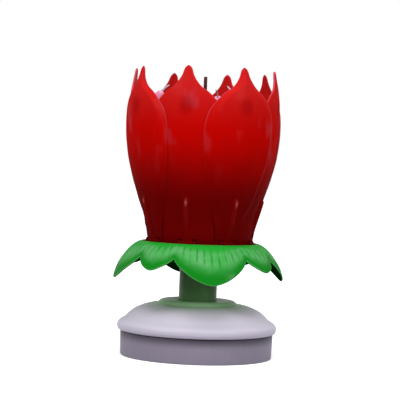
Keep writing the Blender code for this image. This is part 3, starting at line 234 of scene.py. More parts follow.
class Surface(Graph):
    """One material around its Principled shader."""

    def __init__(self, name: str) -> None:
        """Make the material with its shader."""
        self.material = bpy.data.materials.new(name)
        self.material.use_nodes = True
        super().__init__(self.material.node_tree)
        self.shader = self.tree.nodes["Principled BSDF"]

    def set(self, **values: Union[Amount, Colour]) -> None:
        """Set or link sockets of the shader, with an underscore for a space in their names."""
        for name, value in values.items():
            self.feed(self.shader.inputs[name.replace("_", " ")], value)

    def relief(self, height: Amount, depth: float) -> None:
        """Raise and lower the surface by a height from 0 to 1, times a depth in metres."""
        self.set(Normal=self.node("ShaderNodeBump", inputs={"Height": height, "Distance": depth}))


@dataclass(frozen=True)
class Finish:
    """What every finish has: the slot that it dresses, its colour and its gloss."""

    slot: Slot
    colour: Colour
    roughness: float

    def material(self) -> bpy.types.Material:
        """Build the material once and return it from then on."""
        name = f"{type(self).__name__.lower()}_{self.slot.value}"
        found = bpy.data.materials.get(name)
        if found is None:
            graph = Surface(name)
            graph.set(Base_Color=self.colour, Roughness=self.roughness)
            self.dress(graph)
            graph.material.diffuse_color = (*self.colour, 1)
            found = graph.material
        return found

    def dress(self, graph: Surface) -> None:
        """Add what is special to the finish."""
        raise NotImplementedError

    def shade(self, share: float) -> Colour:
        """The finish's colour made lighter or darker by a share."""
        return tuple(min(1.0, part * (1 + share)) for part in self.colour)


@dataclass(frozen=True)
class Moulded(Finish):
    """Injection-moulded plastic: faint cloudy flow, small scuffs and the fine skin of the mould."""

    coat: float = 0.12
    gloss: float = 0.5
    cloud: float = 0.06
    patch: float = 9 * MM
    grain: float = 0.35 * MM
    depth: float = 0.012 * MM
    scuffing: float = 0.12
    scuff_range: Range = (0.45, 0.8)
    coat_roughness: float = 0.2

    def dress(self, graph: Surface) -> None:
        """Cloud the colour, vary the gloss and grain the skin."""
        flow = graph.noise(self.patch, 4.0)
        scuffs = graph.noise(self.patch / 3, 6.0).rise(*self.scuff_range)
        graph.set(
            Base_Color=flow.pick(self.shade(-self.cloud), self.shade(self.cloud)),
            Roughness=self.roughness + self.scuffing * scuffs,
            Specular_IOR_Level=self.gloss,
            Coat_Weight=self.coat,
            Coat_Roughness=self.coat_roughness,
        )
        graph.relief(graph.noise(self.grain, 2.0), self.depth)


@dataclass(frozen=True)
class LidShell(Finish):
    """The pale lid and neck: satin, bluer low down, with the calyx's green shade and bounce light
    painted on near the neck.
    """

    low_colour: Colour = (0.60, 0.56, 0.66)
    height_z: Range = (12 * MM, 24 * MM)
    calyx_shade_colour: Colour = (0.060, 0.160, 0.045)
    calyx_shade_r: float = 9.5 * MM
    green_shade_and_dust_colour: Colour = (0.20, 0.38, 0.18)
    half_shade_r: float = 18 * MM
    clear_r: float = 33 * MM
    dust_size: float = 5 * MM
    dust_tint: float = 0.06
    dulling: float = 0.15
    grain: float = 0.3 * MM
    depth: float = 0.010 * MM

    def dress(self, graph: Surface) -> None:
        """Grade the colour by height, paint the calyx's green shade by radius, and dull it in
        patches.
        """
        height = graph.axis("Z").rise(*self.height_z)
        graded = height.pick(self.low_colour, self.colour)
        # Painted shade: the calyx's green shade and bounce light, full on the neck and fading out
        # over the lid.
        graded = graph.radius().rise(self.half_shade_r, self.clear_r).pick(self.green_shade_and_dust_colour, graded)
        graded = graph.radius().rise(self.calyx_shade_r, self.half_shade_r).pick(self.calyx_shade_colour, graded)
        dust = graph.noise(self.dust_size, 5.0).rise(0.5, 0.85)
        graph.set(
            # Dust patches lean towards the same green colour.
            Base_Color=(self.dust_tint * dust).pick(graded, self.green_shade_and_dust_colour),
            Roughness=self.roughness + self.dulling * dust,
            Specular_IOR_Level=0.05,
            Coat_Weight=0.15,
            Coat_Roughness=0.3,
        )
        graph.relief(graph.noise(self.grain, 2.0), self.depth)


@dataclass(frozen=True)
class DrumWall(Finish):
    """The darker drum: satin with faint upright marks, paler at its foot, with a painted shadow under
    the lid.
    """

    edge_colour: Colour = (0.30, 0.27, 0.33)
    edge_z: float = 3.5 * MM
    edge_share: float = 0.6
    shade_colour: Colour = (0.03, 0.026, 0.036)
    shade_z: Range = (6.8 * MM, 12.4 * MM)
    mark_size: float = 1.1 * MM
    mark_depth: float = 0.015 * MM
    mark_stretch: float = 0.06
    patch: float = 12 * MM
    cloud: float = 0.10

    def dress(self, graph: Surface) -> None:
        """Draw fine upright marks, lighten the foot and paint the lid's shadow on the wall below it.
        """
        marks = graph.noise(self.mark_size, 4.0, graph.stretched((1, 1, self.mark_stretch)))
        cloud = graph.noise(self.patch, 3.0)
        base = (0.6 * marks + 0.4 * cloud).pick(self.shade(-self.cloud), self.shade(self.cloud))
        foot = 1 - graph.axis("Z").rise(0.0, self.edge_z)
        body = (self.edge_share * foot).pick(base, self.edge_colour)
        # Painted shadow of the lid's lip on the top of the wall, uneven with the cloud.
        lid_shadow = graph.axis("Z").rise(*self.shade_z) * (0.65 + 0.35 * cloud)
        graph.set(
            Base_Color=lid_shadow.pick(body, self.shade_colour),
            Roughness=self.roughness + self.cloud * cloud,
            Specular_IOR_Level=0.05,
            Coat_Weight=0.10,
            Coat_Roughness=0.35,
        )
        graph.relief(marks, self.mark_depth)


@dataclass(frozen=True)
class PetalPlastic(Finish):
    """Thin glossy red plastic, with painted light: a painted glow near the top, painted shade
    deepening to the foot.

    A range or a place in _rise is in shares of the petal's height. A value in _share is how far
    its colour covers the one below.
    """

    foot_shade_colour: Colour = (0.158, 0.0, 0.0)
    foot_rise: Range = (0.25, 0.68)
    glow_colour: Colour = (0.60, 0.014, 0.013)
    top_rise: Range = (0.60, 0.95)
    rim_highlight_colour: Colour = (0.66, 0.11, 0.15)
    rim_rise: Range = (0.55, 0.90)
    rim_share: float = 0.6
    rim_glow: float = 0.35
    petal_sheen_colour: Colour = (0.49, 0.040, 0.055)
    petal_sheen_rise: Range = (0.35, 0.8)
    petal_sheen_size: float = 9 * MM
    petal_sheen_share: float = 0.50
    rib_light_colour: Colour = (0.23, 0.003, 0.003)
    crest_highlight_colour: Colour = (0.64, 0.14, 0.14)
    rib_light_share: float = 0.8
    cup_shadow_colour: Colour = (0.33, 0.001, 0.001)
    cup_rise: float = 0.775
    cup_reach: float = 0.075
    cup_shadow_share: float = 0.50
    cloud_size: float = 11 * MM
    smear_size: float = 4 * MM
    wave_size: float = 7 * MM
    wave_depth: float = 0.06 * MM
    glow_depth: float = 2.5 * MM

    def dress(self, graph: Surface) -> None:
        """Grade the red along the petal with a painted glow at the top and painted shade at the foot,
        and paint sheen patches, the shadow of the cup behind, light on the ribs and highlights on the
        rims.
        """
        along = graph.painted("rise")
        across = graph.painted("across")
        rim = graph.painted("rim")
        cloud = graph.noise(self.cloud_size, 4.0)
        # Painted shade: the red deepens towards the foot.
        lower = (along + 0.05 * cloud).rise(*self.foot_rise).pick(self.foot_shade_colour, self.colour)
        # Painted glow: the top is lighter, as if lit through.
        body = along.rise(*self.top_rise).pick(lower, self.glow_colour)
        # Painted sheen: streaky pinkish highlight patches up the petal, which also carry more coat.
        streaks = graph.noise(self.petal_sheen_size, 2.0, graph.stretched((1, 1, 0.45)))
        petal_sheen = streaks.rise(0.56, 0.74)
        petal_sheen_amount = petal_sheen * along.rise(*self.petal_sheen_rise) * self.petal_sheen_share
        body = petal_sheen_amount.pick(body, self.petal_sheen_colour)
        # Painted shadow of the candle's cup, as if seen through the petal.
        away = ((along - self.cup_rise) ** 2 + (across * 0.18) ** 2) ** 0.5
        cup = 1 - away.rise(self.cup_reach * 0.25, self.cup_reach)
        body = (cup * self.cup_shadow_share).pick(body, self.cup_shadow_colour)
        # Painted light on the ribs: a lighter streak along each and a painted highlight on its blunt
        # top.
        body = (graph.painted("rib") * self.rib_light_share).pick(body, self.rib_light_colour)
        body = (graph.painted("crest") * self.rib_light_share).pick(body, self.crest_highlight_colour)
        # Painted glow along the rims, stronger higher up.
        body = (rim.rise(0.3, 1.0) * along * self.rim_glow).pick(body, self.glow_colour)
        smears = graph.noise(self.smear_size, 6.0)
        # Painted highlight along the rims of the upper petal.
        edge = rim.rise(0.25, 1.0) * along.rise(*self.rim_rise)
        graph.set(
            Base_Color=(edge * self.rim_share).pick(body, self.rim_highlight_colour),
            Roughness=self.roughness + 0.16 * smears.rise(0.4, 0.75),
            Specular_IOR_Level=0.0,
            Coat_Weight=0.02 + 0.08 * petal_sheen * along,
            Coat_Roughness=0.18,
            Subsurface_Weight=0.08,
            Subsurface_Radius=Vector((1.0, 0.02, 0.02)),
            Subsurface_Scale=self.glow_depth,
        )
        graph.relief(graph.noise(self.wave_size, 2.0), self.wave_depth)


@dataclass(frozen=True)
class CalyxPlastic(Finish):
    """Glossy green plastic: painted sheen on its pleats and a painted highlight along its rim, deep
    green towards the tips, painted shade in its grooves and underneath.
    """

    pleat_sheen_colour: Colour = (0.10, 0.42, 0.12)
    pleat_reach: Range = (0.16, 0.36)
    tip_colour: Colour = (0.004, 0.23, 0.010)
    tip_reach: Range = (0.62, 0.98)
    groove_shade_colour: Colour = (0.010, 0.17, 0.018)
    rim_highlight_colour: Colour = (0.12, 0.52, 0.12)
    rim_share: float = 0.7
    underside_shade_colour: Colour = (0.002, 0.035, 0.006)
    underside_shade_share: float = 0.92
    cloud_size: float = 6 * MM
    sheen_size: float = 9 * MM
    groove_patch_size: float = 5 * MM
    smear_size: float = 3 * MM
    wave_size: float = 2.2 * MM
    wave_depth: float = 0.04 * MM
    glow_depth: float = 1.5 * MM

    def dress(self, graph: Surface) -> None:
        """Grade the green outwards with a painted sheen on the pleats, and paint shade in the grooves
        and on the underside and a highlight along the rim.
        """
        out = graph.painted("reach")
        rim = graph.painted("rim")
        groove = graph.painted("groove")
        under = graph.painted("under")
        cloud = graph.noise(self.cloud_size, 4.0)
        # Painted sheen on the pleats, in patches.
        patches = out.rise(*self.pleat_reach)
        sheen = patches * (0.35 + 0.65 * graph.noise(self.sheen_size, 3.0).rise(0.35, 0.65))
        body = sheen.pick(self.colour, self.pleat_sheen_colour)
        body = (out + 0.20 * cloud).rise(*self.tip_reach).pick(body, self.tip_colour)
        # Painted shade in the grooves between the pleats, uneven in patches.
        groove_unevenness = 0.15 + 0.60 * graph.noise(self.groove_patch_size, 2.0).rise(0.35, 0.65)
        body = (groove * groove_unevenness).pick(body, self.groove_shade_colour)
        # Painted highlight along the rim of the skirt.
        body = (rim.rise(0.2, 1.0) * self.rim_share).pick(body, self.rim_highlight_colour)
        # Painted shade on the underside and inside the cup, set below.
        graph.set(
            Base_Color=(under * self.underside_shade_share).pick(body, self.underside_shade_colour),
            Roughness=self.roughness + 0.14 * graph.noise(self.smear_size, 5.0),
            Specular_IOR_Level=0.0,
            Coat_Weight=0.13 * (1 - under),
            Coat_Roughness=0.2,
            Subsurface_Weight=0.06,
            Subsurface_Radius=Vector((0.2, 1.0, 0.2)),
            Subsurface_Scale=self.glow_depth,
        )
        graph.relief(graph.noise(self.wave_size, 3.0), self.wave_depth)


@dataclass(frozen=True)
class Wax(Finish):
    """Pink wax, paler towards the wick with a painted highlight, waxy soft light under the skin."""

    pale_colour: Colour = (0.93, 0.42, 0.60)
    pale_rise: Range = (0.55, 1.0)
    mottle_size: float = 1.6 * MM
    depth: float = 0.05 * MM
    glow_depth: float = 1.0 * MM

    def dress(self, graph: Surface) -> None:
        """Paint a pale highlight on the top and mottle the wax."""
        # Painted highlight: the wax gets paler towards the wick.
        top = graph.painted("rise").rise(*self.pale_rise)
        mottle = graph.noise(self.mottle_size, 4.0)
        graph.set(
            Base_Color=(0.7 * top + 0.2 * mottle).pick(self.colour, self.pale_colour),
            Roughness=self.roughness + 0.2 * mottle,
            Subsurface_Weight=0.25,
            Subsurface_Radius=Vector((1.0, 0.4, 0.4)),
            Subsurface_Scale=self.glow_depth,
        )
        graph.relief(mottle, self.depth)


@dataclass(frozen=True)
class Fibre(Finish):
    """Cotton or rolled paper: fine fibres round the piece, darker between them."""

    fibre: float = 0.22 * MM
    depth: float = 0.06 * MM
    burnt_colour: Colour = (0.13, 0.07, 0.06)
    burnt_rise: Range = (0.80, 1.0)
    burnt: float = 0.0

    def dress(self, graph: Surface) -> None:
        """Lay fibres and scorch the upper end."""
        fibres = graph.noise(self.fibre, 5.0, graph.stretched((0.6, 0.6, 2.2)))
        body = fibres.pick(self.shade(-0.28), self.shade(0.12))
        scorched = graph.painted("rise").rise(*self.burnt_rise) * self.burnt
        graph.set(
            Base_Color=scorched.pick(body, self.burnt_colour),
            Roughness=self.roughness,
            Specular_IOR_Level=0.1,
        )
        graph.relief(fibres, self.depth)


@dataclass(frozen=True)
class Metal(Finish):
    """Plated or bare metal with fine drawn streaks and small dull spots."""

    stretch: tuple = (1.0, 1.0, 0.08)
    streak_size: float = 0.5 * MM
    spot_size: float = 2.5 * MM
    depth: float = 0.01 * MM

    def dress(self, graph: Surface) -> None:
        """Streak the colour and the gloss."""
        streaks = graph.noise(self.streak_size, 4.0, graph.stretched(self.stretch))
        spots = graph.noise(self.spot_size, 5.0).rise(0.55, 0.8)
        graph.set(
            Base_Color=(0.6 * streaks + 0.4 * spots).pick(self.shade(0.08), self.shade(-0.20)),
            Roughness=self.roughness + 0.15 * streaks + 0.15 * spots,
            Metallic=1.0,
        )
        graph.relief(streaks, self.depth)


@dataclass(frozen=True)
class SolderMask(Finish):
    """A circuit board's green mask, with copper tracks that show through it in fine lines."""

    track_colour: Colour = (0.10, 0.30, 0.12)
    pitch: float = 1.3 * MM
    weave: float = 0.8 * MM
    depth: float = 0.03 * MM

    def dress(self, graph: Surface) -> None:
        """Draw tracks with one bend and a weave in the gloss."""
        bent = graph.axis("X") + (graph.axis("Y") * 0.5).size()
        tracks = (bent * (math.tau / self.pitch)).wave().rise(0.55, 0.85)
        graph.set(
            Base_Color=tracks.pick(self.colour, self.track_colour),
            Roughness=self.roughness + 0.10 * graph.noise(self.weave, 2.0),
        )
        graph.relief(tracks, self.depth)


@dataclass(frozen=True)
class CellWrap(Finish):
    """A plain wrapped cell: a dark sleeve, a lighter band at the nub end and bare metal ends."""

    band_colour: Colour = (0.45, 0.30, 0.12)
    band_x: Range = (14 * MM - 0.1 * MM, 14 * MM + 0.1 * MM)
    end_colour: Colour = (0.62, 0.62, 0.64)
    end_x: Range = (23.8 * MM, 23.8 * MM + 0.2 * MM)
    smear_size: float = 3 * MM

    def dress(self, graph: Surface) -> None:
        """Band the sleeve and bare the ends."""
        x = graph.axis("X")
        band = x.rise(*self.band_x)
        ends = x.size().rise(*self.end_x)
        sleeve = band.pick(self.colour, self.band_colour)
        graph.set(
            Base_Color=ends.pick(sleeve, self.end_colour),
            Metallic=ends,
            Roughness=self.roughness + 0.10 * graph.noise(self.smear_size, 4.0),
        )


@dataclass(frozen=True)
class Powder(Finish):
    """Pressed grey powder with dark and bright grains."""

    grain: float = 0.5 * MM
    depth: float = 0.2 * MM

    def dress(self, graph: Surface) -> None:
        """Grain the colour and the surface."""
        grains = graph.noise(self.grain, 5.0)
        graph.set(Base_Color=grains.pick(self.shade(-0.5), self.shade(0.7)))
        graph.relief(grains, self.depth)


LID_PLASTIC = LidShell(Slot.LID, (0.67, 0.63, 0.70), 0.42)
DRUM_PLASTIC = DrumWall(Slot.DRUM, (0.30, 0.265, 0.33), 0.46)
PETAL_RED = PetalPlastic(Slot.RED, (0.56, 0.001, 0.0), 0.26)
# Darker than the petals: painted shade on the hub inside the bud.
HUB_RED = Moulded(Slot.RED, (0.125, 0.0, 0.0), 0.35, coat=0.04, gloss=0.0, cloud=0.12)
CALYX_GREEN = CalyxPlastic(Slot.GREEN, (0.018, 0.38, 0.030), 0.24)
PINK_WAX = Wax(Slot.WAX, (0.88, 0.14, 0.34), 0.42)
COTTON = Fibre(Slot.WICK, (0.58, 0.53, 0.62), 0.9)
STEEL = Metal(Slot.STEEL, (0.62, 0.62, 0.64), 0.26)
BRASS = Metal(Slot.BRASS, (0.76, 0.58, 0.28), 0.30)
ACETAL = Moulded(Slot.WHITE, (0.46, 0.45, 0.41), 0.40, coat=0.05, gloss=0.25, cloud=0.05)
# White plastic painted dark red: painted shade on the pusher ring inside the bud.
RING_SHADE_RED = Moulded(Slot.WHITE, (0.13, 0.008, 0.006), 0.40, coat=0.05, gloss=0.25, cloud=0.05)
DARK_PLASTIC = Moulded(Slot.DARK, (0.05, 0.05, 0.055), 0.50, coat=0.0, cloud=0.15)
BOARD_GREEN = SolderMask(Slot.BOARD, (0.02, 0.14, 0.05), 0.38)
SLEEVE = CellWrap(Slot.CELL, (0.05, 0.055, 0.07), 0.30)
TUBE_PAPER = Fibre(Slot.TUBE, (0.55, 0.30, 0.24), 0.8, fibre=0.5 * MM, burnt=0.3)
FUSE_PAPER = Fibre(Slot.FUSE, (0.11, 0.015, 0.018), 0.75, fibre=0.3 * MM, burnt=0.6)
CHARGE = Powder(Slot.CHARGE, (0.24, 0.23, 0.22), 0.95)


class Curve:
    """A smooth curve through a table of numbers that never overshoots it (a monotone cubic)."""

    def __init__(self, knots: Sequence[float], values: Sequence[float]) -> None:
        """Work out a slope at each knot."""
        self.knots = list(knots)
        self.values = list(values)
        steps = [after - before for before, after in zip(self.knots, self.knots[1:])]
        rises = [
            (after - before) / step
            for before, after, step in zip(self.values, self.values[1:], steps)
        ]
        slopes = [rises[0]]
        for first, second, left, right in zip(rises, rises[1:], steps, steps[1:]):
            if first * second <= 0:
                slopes.append(0.0)
                continue
            near, far = 2 * right + left, right + 2 * left
            slopes.append((near + far) / (near / first + far / second))
        self.slopes = slopes + [rises[-1]]

    def __call__(self, place: float) -> float:
        """The curve's value at a place between the first and the last knot."""
        index = min(max(bisect_right(self.knots, place) - 1, 0), len(self.knots) - 2)
        step = self.knots[index + 1] - self.knots[index]
        t = min(max((place - self.knots[index]) / step, 0.0), 1.0)
        start, end = self.values[index], self.values[index + 1]
        return (
            start * (1 + 2 * t) * (1 - t) ** 2 + self.slopes[index] * step * t * (1 - t) ** 2
            + end * t * t * (3 - 2 * t) + self.slopes[index + 1] * step * t * t * (t - 1)
        )


class Path:
    """A smooth path of (radius, height) through points, by its length."""

    PROBE = 0.2 * MM  # how far to either side the direction is measured

    def __init__(self, points: Sequence[Point]) -> None:
        """Measure the path and lay a curve through each coordinate."""
        lengths = [0.0]
        for first, second in zip(points, points[1:]):
            lengths.append(lengths[-1] + math.dist(first, second))
        self.length = lengths[-1]
        self.radius = Curve(lengths, [point[0] for point in points])
        self.height = Curve(lengths, [point[1] for point in points])

    def at(self, length: float) -> Point:
        """The point at a length along the path."""
        return self.radius(length), self.height(length)

    def facing(self, length: float) -> Point:
        """The unit (radius, height) direction to the left of the path at a length."""
        before = self.at(max(length - self.PROBE, 0.0))
        after = self.at(min(length + self.PROBE, self.length))
        run, climb = after[0] - before[0], after[1] - before[1]
        size = math.hypot(run, climb)
        return -climb / size, run / size

    def sampled(self, count: int) -> list[Point]:
        """Evenly spaced points from the start to the end."""
        return [self.at(self.length * step / count) for step in range(count + 1)]


def around(azimuth: float, radius: float, height: float) -> Vector:
    """The point at an azimuth from the front, a radius and a height."""
    return Vector((radius * math.sin(azimuth), -radius * math.cos(azimuth), height))


def eased(share: float) -> float:
    """Go smoothly from 0 to 1."""
    share = min(max(share, 0.0), 1.0)
    return share * share * (3 - 2 * share)


def grown(value: float, span: Span) -> float:
    """Go smoothly from 0 at the start of a span to 1 at its end."""
    return eased((value - span[0]) / span[1])


def face_offset(side: int, half: float, edge: float) -> float:
    """How far a face of a leaf lies from its middle, falling in a round to 0 at the leaf's edge.

    Args:
        side: 1 for one face, -1 for the other.
        half: Half the leaf's thickness.
        edge: The distance from the edge.

    Returns:
        The signed distance from the middle.
    """
    near = min(edge / half, 1.0)
    return side * half * math.sqrt(max(1 - (1 - near) ** 2, 0.0))


def standing(foot: Vector, along: Vector) -> Matrix:
    """The place of a shape that stands on a point with its Z along a direction."""
    return Matrix.Translation(foot) @ along.to_track_quat("Z", "Y").to_matrix().to_4x4()


def joint_place(name: str) -> Vector:
    """Where a joint of the frame lies."""
    return Vector(next(joint for joint in frame["joints"] if joint["name"] == name)["pos_m"])


def rounded(outline: Sequence[Point], radius: float, sides: int = 4) -> list[Point]:
    """Round the inner corners of an open outline with arcs.

    Args:
        outline: The corners, of which the first and the last stay as they are.
        radius: The radius of each arc, made smaller where the sides are short.
        sides: The number of sides of each arc.

    Returns:
        The rounded outline.
    """
    most = 0.45  # of a side, so that the arcs at its two ends stay apart
    points = [outline[0]]
    corners = [Vector(corner) for corner in outline]
    for before, corner, after in zip(corners, corners[1:], corners[2:]):
        back, ahead = before - corner, after - corner
        setback = radius / math.tan(back.angle(ahead) / 2)
        setback = min(setback, most * min(back.length, ahead.length))
        start = corner + back.normalized() * setback
        end = corner + ahead.normalized() * setback
        for step in range(sides + 1):
            share = step / sides
            spot = start.lerp(corner, share).lerp(corner.lerp(end, share), share)
            points.append((spot.x, spot.y))
    return points + [outline[-1]]


def weld(shape: bmesh.types.BMesh, reach: float = MERGE) -> bmesh.types.BMesh:
    """Merge the points of a shape that lie within a reach, and turn its faces outwards."""
    bmesh.ops.remove_doubles(shape, verts=shape.verts, dist=reach)
    bmesh.ops.recalc_face_normals(shape, faces=shape.faces)
    return shape


def soften(
    shape: bmesh.types.BMesh, edges: Sequence[bmesh.types.BMEdge], width: float,
) -> None:
    """Bevel some edges of a shape."""
    bmesh.ops.bevel(
        shape, geom=edges, offset=width, segments=2, profile=0.5, affect="EDGES", material=-1,
    )


def spun(profile: Sequence[Point], steps: int = 96, closed: bool = False) -> bmesh.types.BMesh:
    """Spin a profile of (radius, height) about Z.

    Args:
        profile: The profile, from the axis to the axis, or a ring's section.
        steps: The number of steps of the spin.
        closed: Whether the profile's last point joins its first.

    Returns:
        The closed shape.
    """
    shape = bmesh.new()
    verts = [shape.verts.new((radius, 0, height)) for radius, height in profile]
    edges = [shape.edges.new(pair) for pair in zip(verts, verts[1:])]
    if closed:
        edges.append(shape.edges.new((verts[-1], verts[0])))
    bmesh.ops.spin(
        shape, geom=verts + edges, cent=(0, 0, 0), axis=(0, 0, 1), angle=math.tau, steps=steps,
        use_merge=True,
    )
    return weld(shape)


def rod(
    start: Vector, end: Vector, radius: float, sides: int, soft: float = 0.0,
) -> bmesh.types.BMesh:
    """A round bar between two points, its end edges bevelled by soft metres."""
    shape = bmesh.new()
    along = end - start
    bmesh.ops.create_cone(
        shape, cap_ends=True, segments=sides, radius1=radius, radius2=radius, depth=along.length,
    )
    if soft:
        ends = [face for face in shape.faces if len(face.verts) == sides]
        soften(shape, [edge for edge in shape.edges if set(edge.link_faces) & set(ends)], soft)
    shape.transform(standing((start + end) / 2, along))
    return shape


def brick(low: Vector, high: Vector, soft: float) -> bmesh.types.BMesh:
    """A block between two corners with bevelled edges."""
    shape = bmesh.new()
    bmesh.ops.create_cube(shape, size=1.0)
    size = high - low
    shape.transform(Matrix.Translation((low + high) / 2) @ Matrix.Diagonal((*size, 1)))
    soften(shape, shape.edges[:], soft)
    return shape


def swept(
    route: Sequence[Vector], radius: Callable[[float], float], sides: int, twist: float,
    lobes: float,
) -> bmesh.types.BMesh:
    """Wrap a grid round a route and close its ends.

    Args:
        route: The middle line.
        radius: The radius at each share of the route.
        sides: The number of sides of the tube.
        twist: How far the tube turns from start to end, in radians.
        lobes: How deep two lobes cut into the tube, as a share of the radius.

    Returns:
        The closed tube.
    """
    last = len(route) - 1
    places = []
    for step, spot in enumerate(route):
        ahead = route[min(step + 1, last)] - route[max(step - 1, 0)]
        places.append(standing(spot, ahead))
    shape = sheet_grid(sides, last)
    for vert in shape.verts:
        turn, share = math.pi * vert.co.x, vert.co.y
        reach = radius(share) * (1 - lobes * math.cos(2 * turn) ** 2)
        angle = turn + twist * share
        spoke = Vector((reach * math.cos(angle), reach * math.sin(angle), 0))
        vert.co = places[round(share * last)] @ spoke
    bmesh.ops.remove_doubles(shape, verts=shape.verts, dist=MERGE)
    bmesh.ops.holes_fill(shape, edges=shape.edges, sides=sides)
    bmesh.ops.recalc_face_normals(shape, faces=shape.faces)
    return shape


def joined(shapes: Iterable[bmesh.types.BMesh]) -> bmesh.types.BMesh:
    """Put several closed shapes into one, and free them."""
    whole = bmesh.new()
    for shape in shapes:
        carrier = bpy.data.meshes.new("carrier")
        shape.to_mesh(carrier)
        shape.free()
        whole.from_mesh(carrier)
        bpy.data.meshes.remove(carrier)
    return whole


def sheet_grid(
    columns: int, rows: int, spread: Callable[[float], float] = float,
    climb: Callable[[float], float] = float,
) -> bmesh.types.BMesh:
    """A grid whose x runs from -1 to 1 and whose y runs from 0 to 1, with uneven spacing.

    Args:
        columns: The number of cells across.
        rows: The number of cells up.
        spread: Moves an even x, from -1 to 1.
        climb: Moves an even y, from 0 to 1.

    Returns:
        The flat grid.
    """
    shape = bmesh.new()
    bmesh.ops.create_grid(shape, x_segments=columns, y_segments=rows, size=1.0)
    for vert in shape.verts:
        vert.co = (spread(vert.co.x), climb((vert.co.y + 1) / 2), 0)
    return shape


def paint(
    shape: bmesh.types.BMesh, name: str, values: Callable[[bmesh.types.BMVert], float],
) -> None:
    """Store a number at each point of a shape, for a finish to read."""
    layer = shape.verts.layers.float.new(name)
    for vert in shape.verts:
        vert[layer] = values(vert)


def paint_rise(shape: bmesh.types.BMesh, foot: float, height: float) -> None:
    """Store at each point of a shape how much of a height above a foot it has risen."""
    paint(shape, "rise", lambda vert: (vert.co.z - foot) / height)


def placed(name: str, shape: bmesh.types.BMesh) -> bpy.types.Object:
    """Put a shape into the scene as an object, and free it."""
    mesh = bpy.data.meshes.new(name)
    shape.to_mesh(mesh)
    shape.free()
    made = bpy.data.objects.new(name, mesh)
    bpy.context.scene.collection.objects.link(made)
    return made


def piece(
    name: str, shape: bmesh.types.BMesh, finish: Finish, body: str, replaced: Sequence[str],
    sharp: float = 38.0,
) -> bpy.types.Object:
    """Turn a shape into a finished piece.

    Args:
        name: The piece's name.
        shape: Its shape, freed here.
        finish: What it is made of.
        body: The body of the frame that it rides on.
        replaced: The frame's nodes that it stands for.
        sharp: Edges that bend by more than this many degrees stay sharp.

    Returns:
        The piece.
    """
    made = placed(name, shape)
    made.data.shade_smooth()
    made.data.set_sharp_from_angle(angle=math.radians(sharp))
    made.data.materials.append(finish.material())
    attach(made, body)
    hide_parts(*replaced)
    LOG.info("%s on %s: %d faces", name, body, len(made.data.polygons))
    return made


def carve(
    target: bpy.types.Object, cutters: Iterable[bmesh.types.BMesh], sharp: float = 30.0,
) -> None:
    """Cut closed shapes out of a piece, whose edges stay sharp past a number of degrees."""
    cutter = placed("cutter", joined(cutters))
    modifier = target.modifiers.new("carve", "BOOLEAN")
    modifier.operation = "DIFFERENCE"
    modifier.solver = "EXACT"
    modifier.use_self = True
    modifier.object = cutter
    bpy.context.view_layer.update()
    graph = bpy.context.evaluated_depsgraph_get()
    carved = bpy.data.meshes.new_from_object(target.evaluated_get(graph))
    target.modifiers.clear()
    target.data = carved
    carved.shade_smooth()
    carved.set_sharp_from_angle(angle=math.radians(sharp))
    bpy.data.objects.remove(cutter, do_unlink=True)


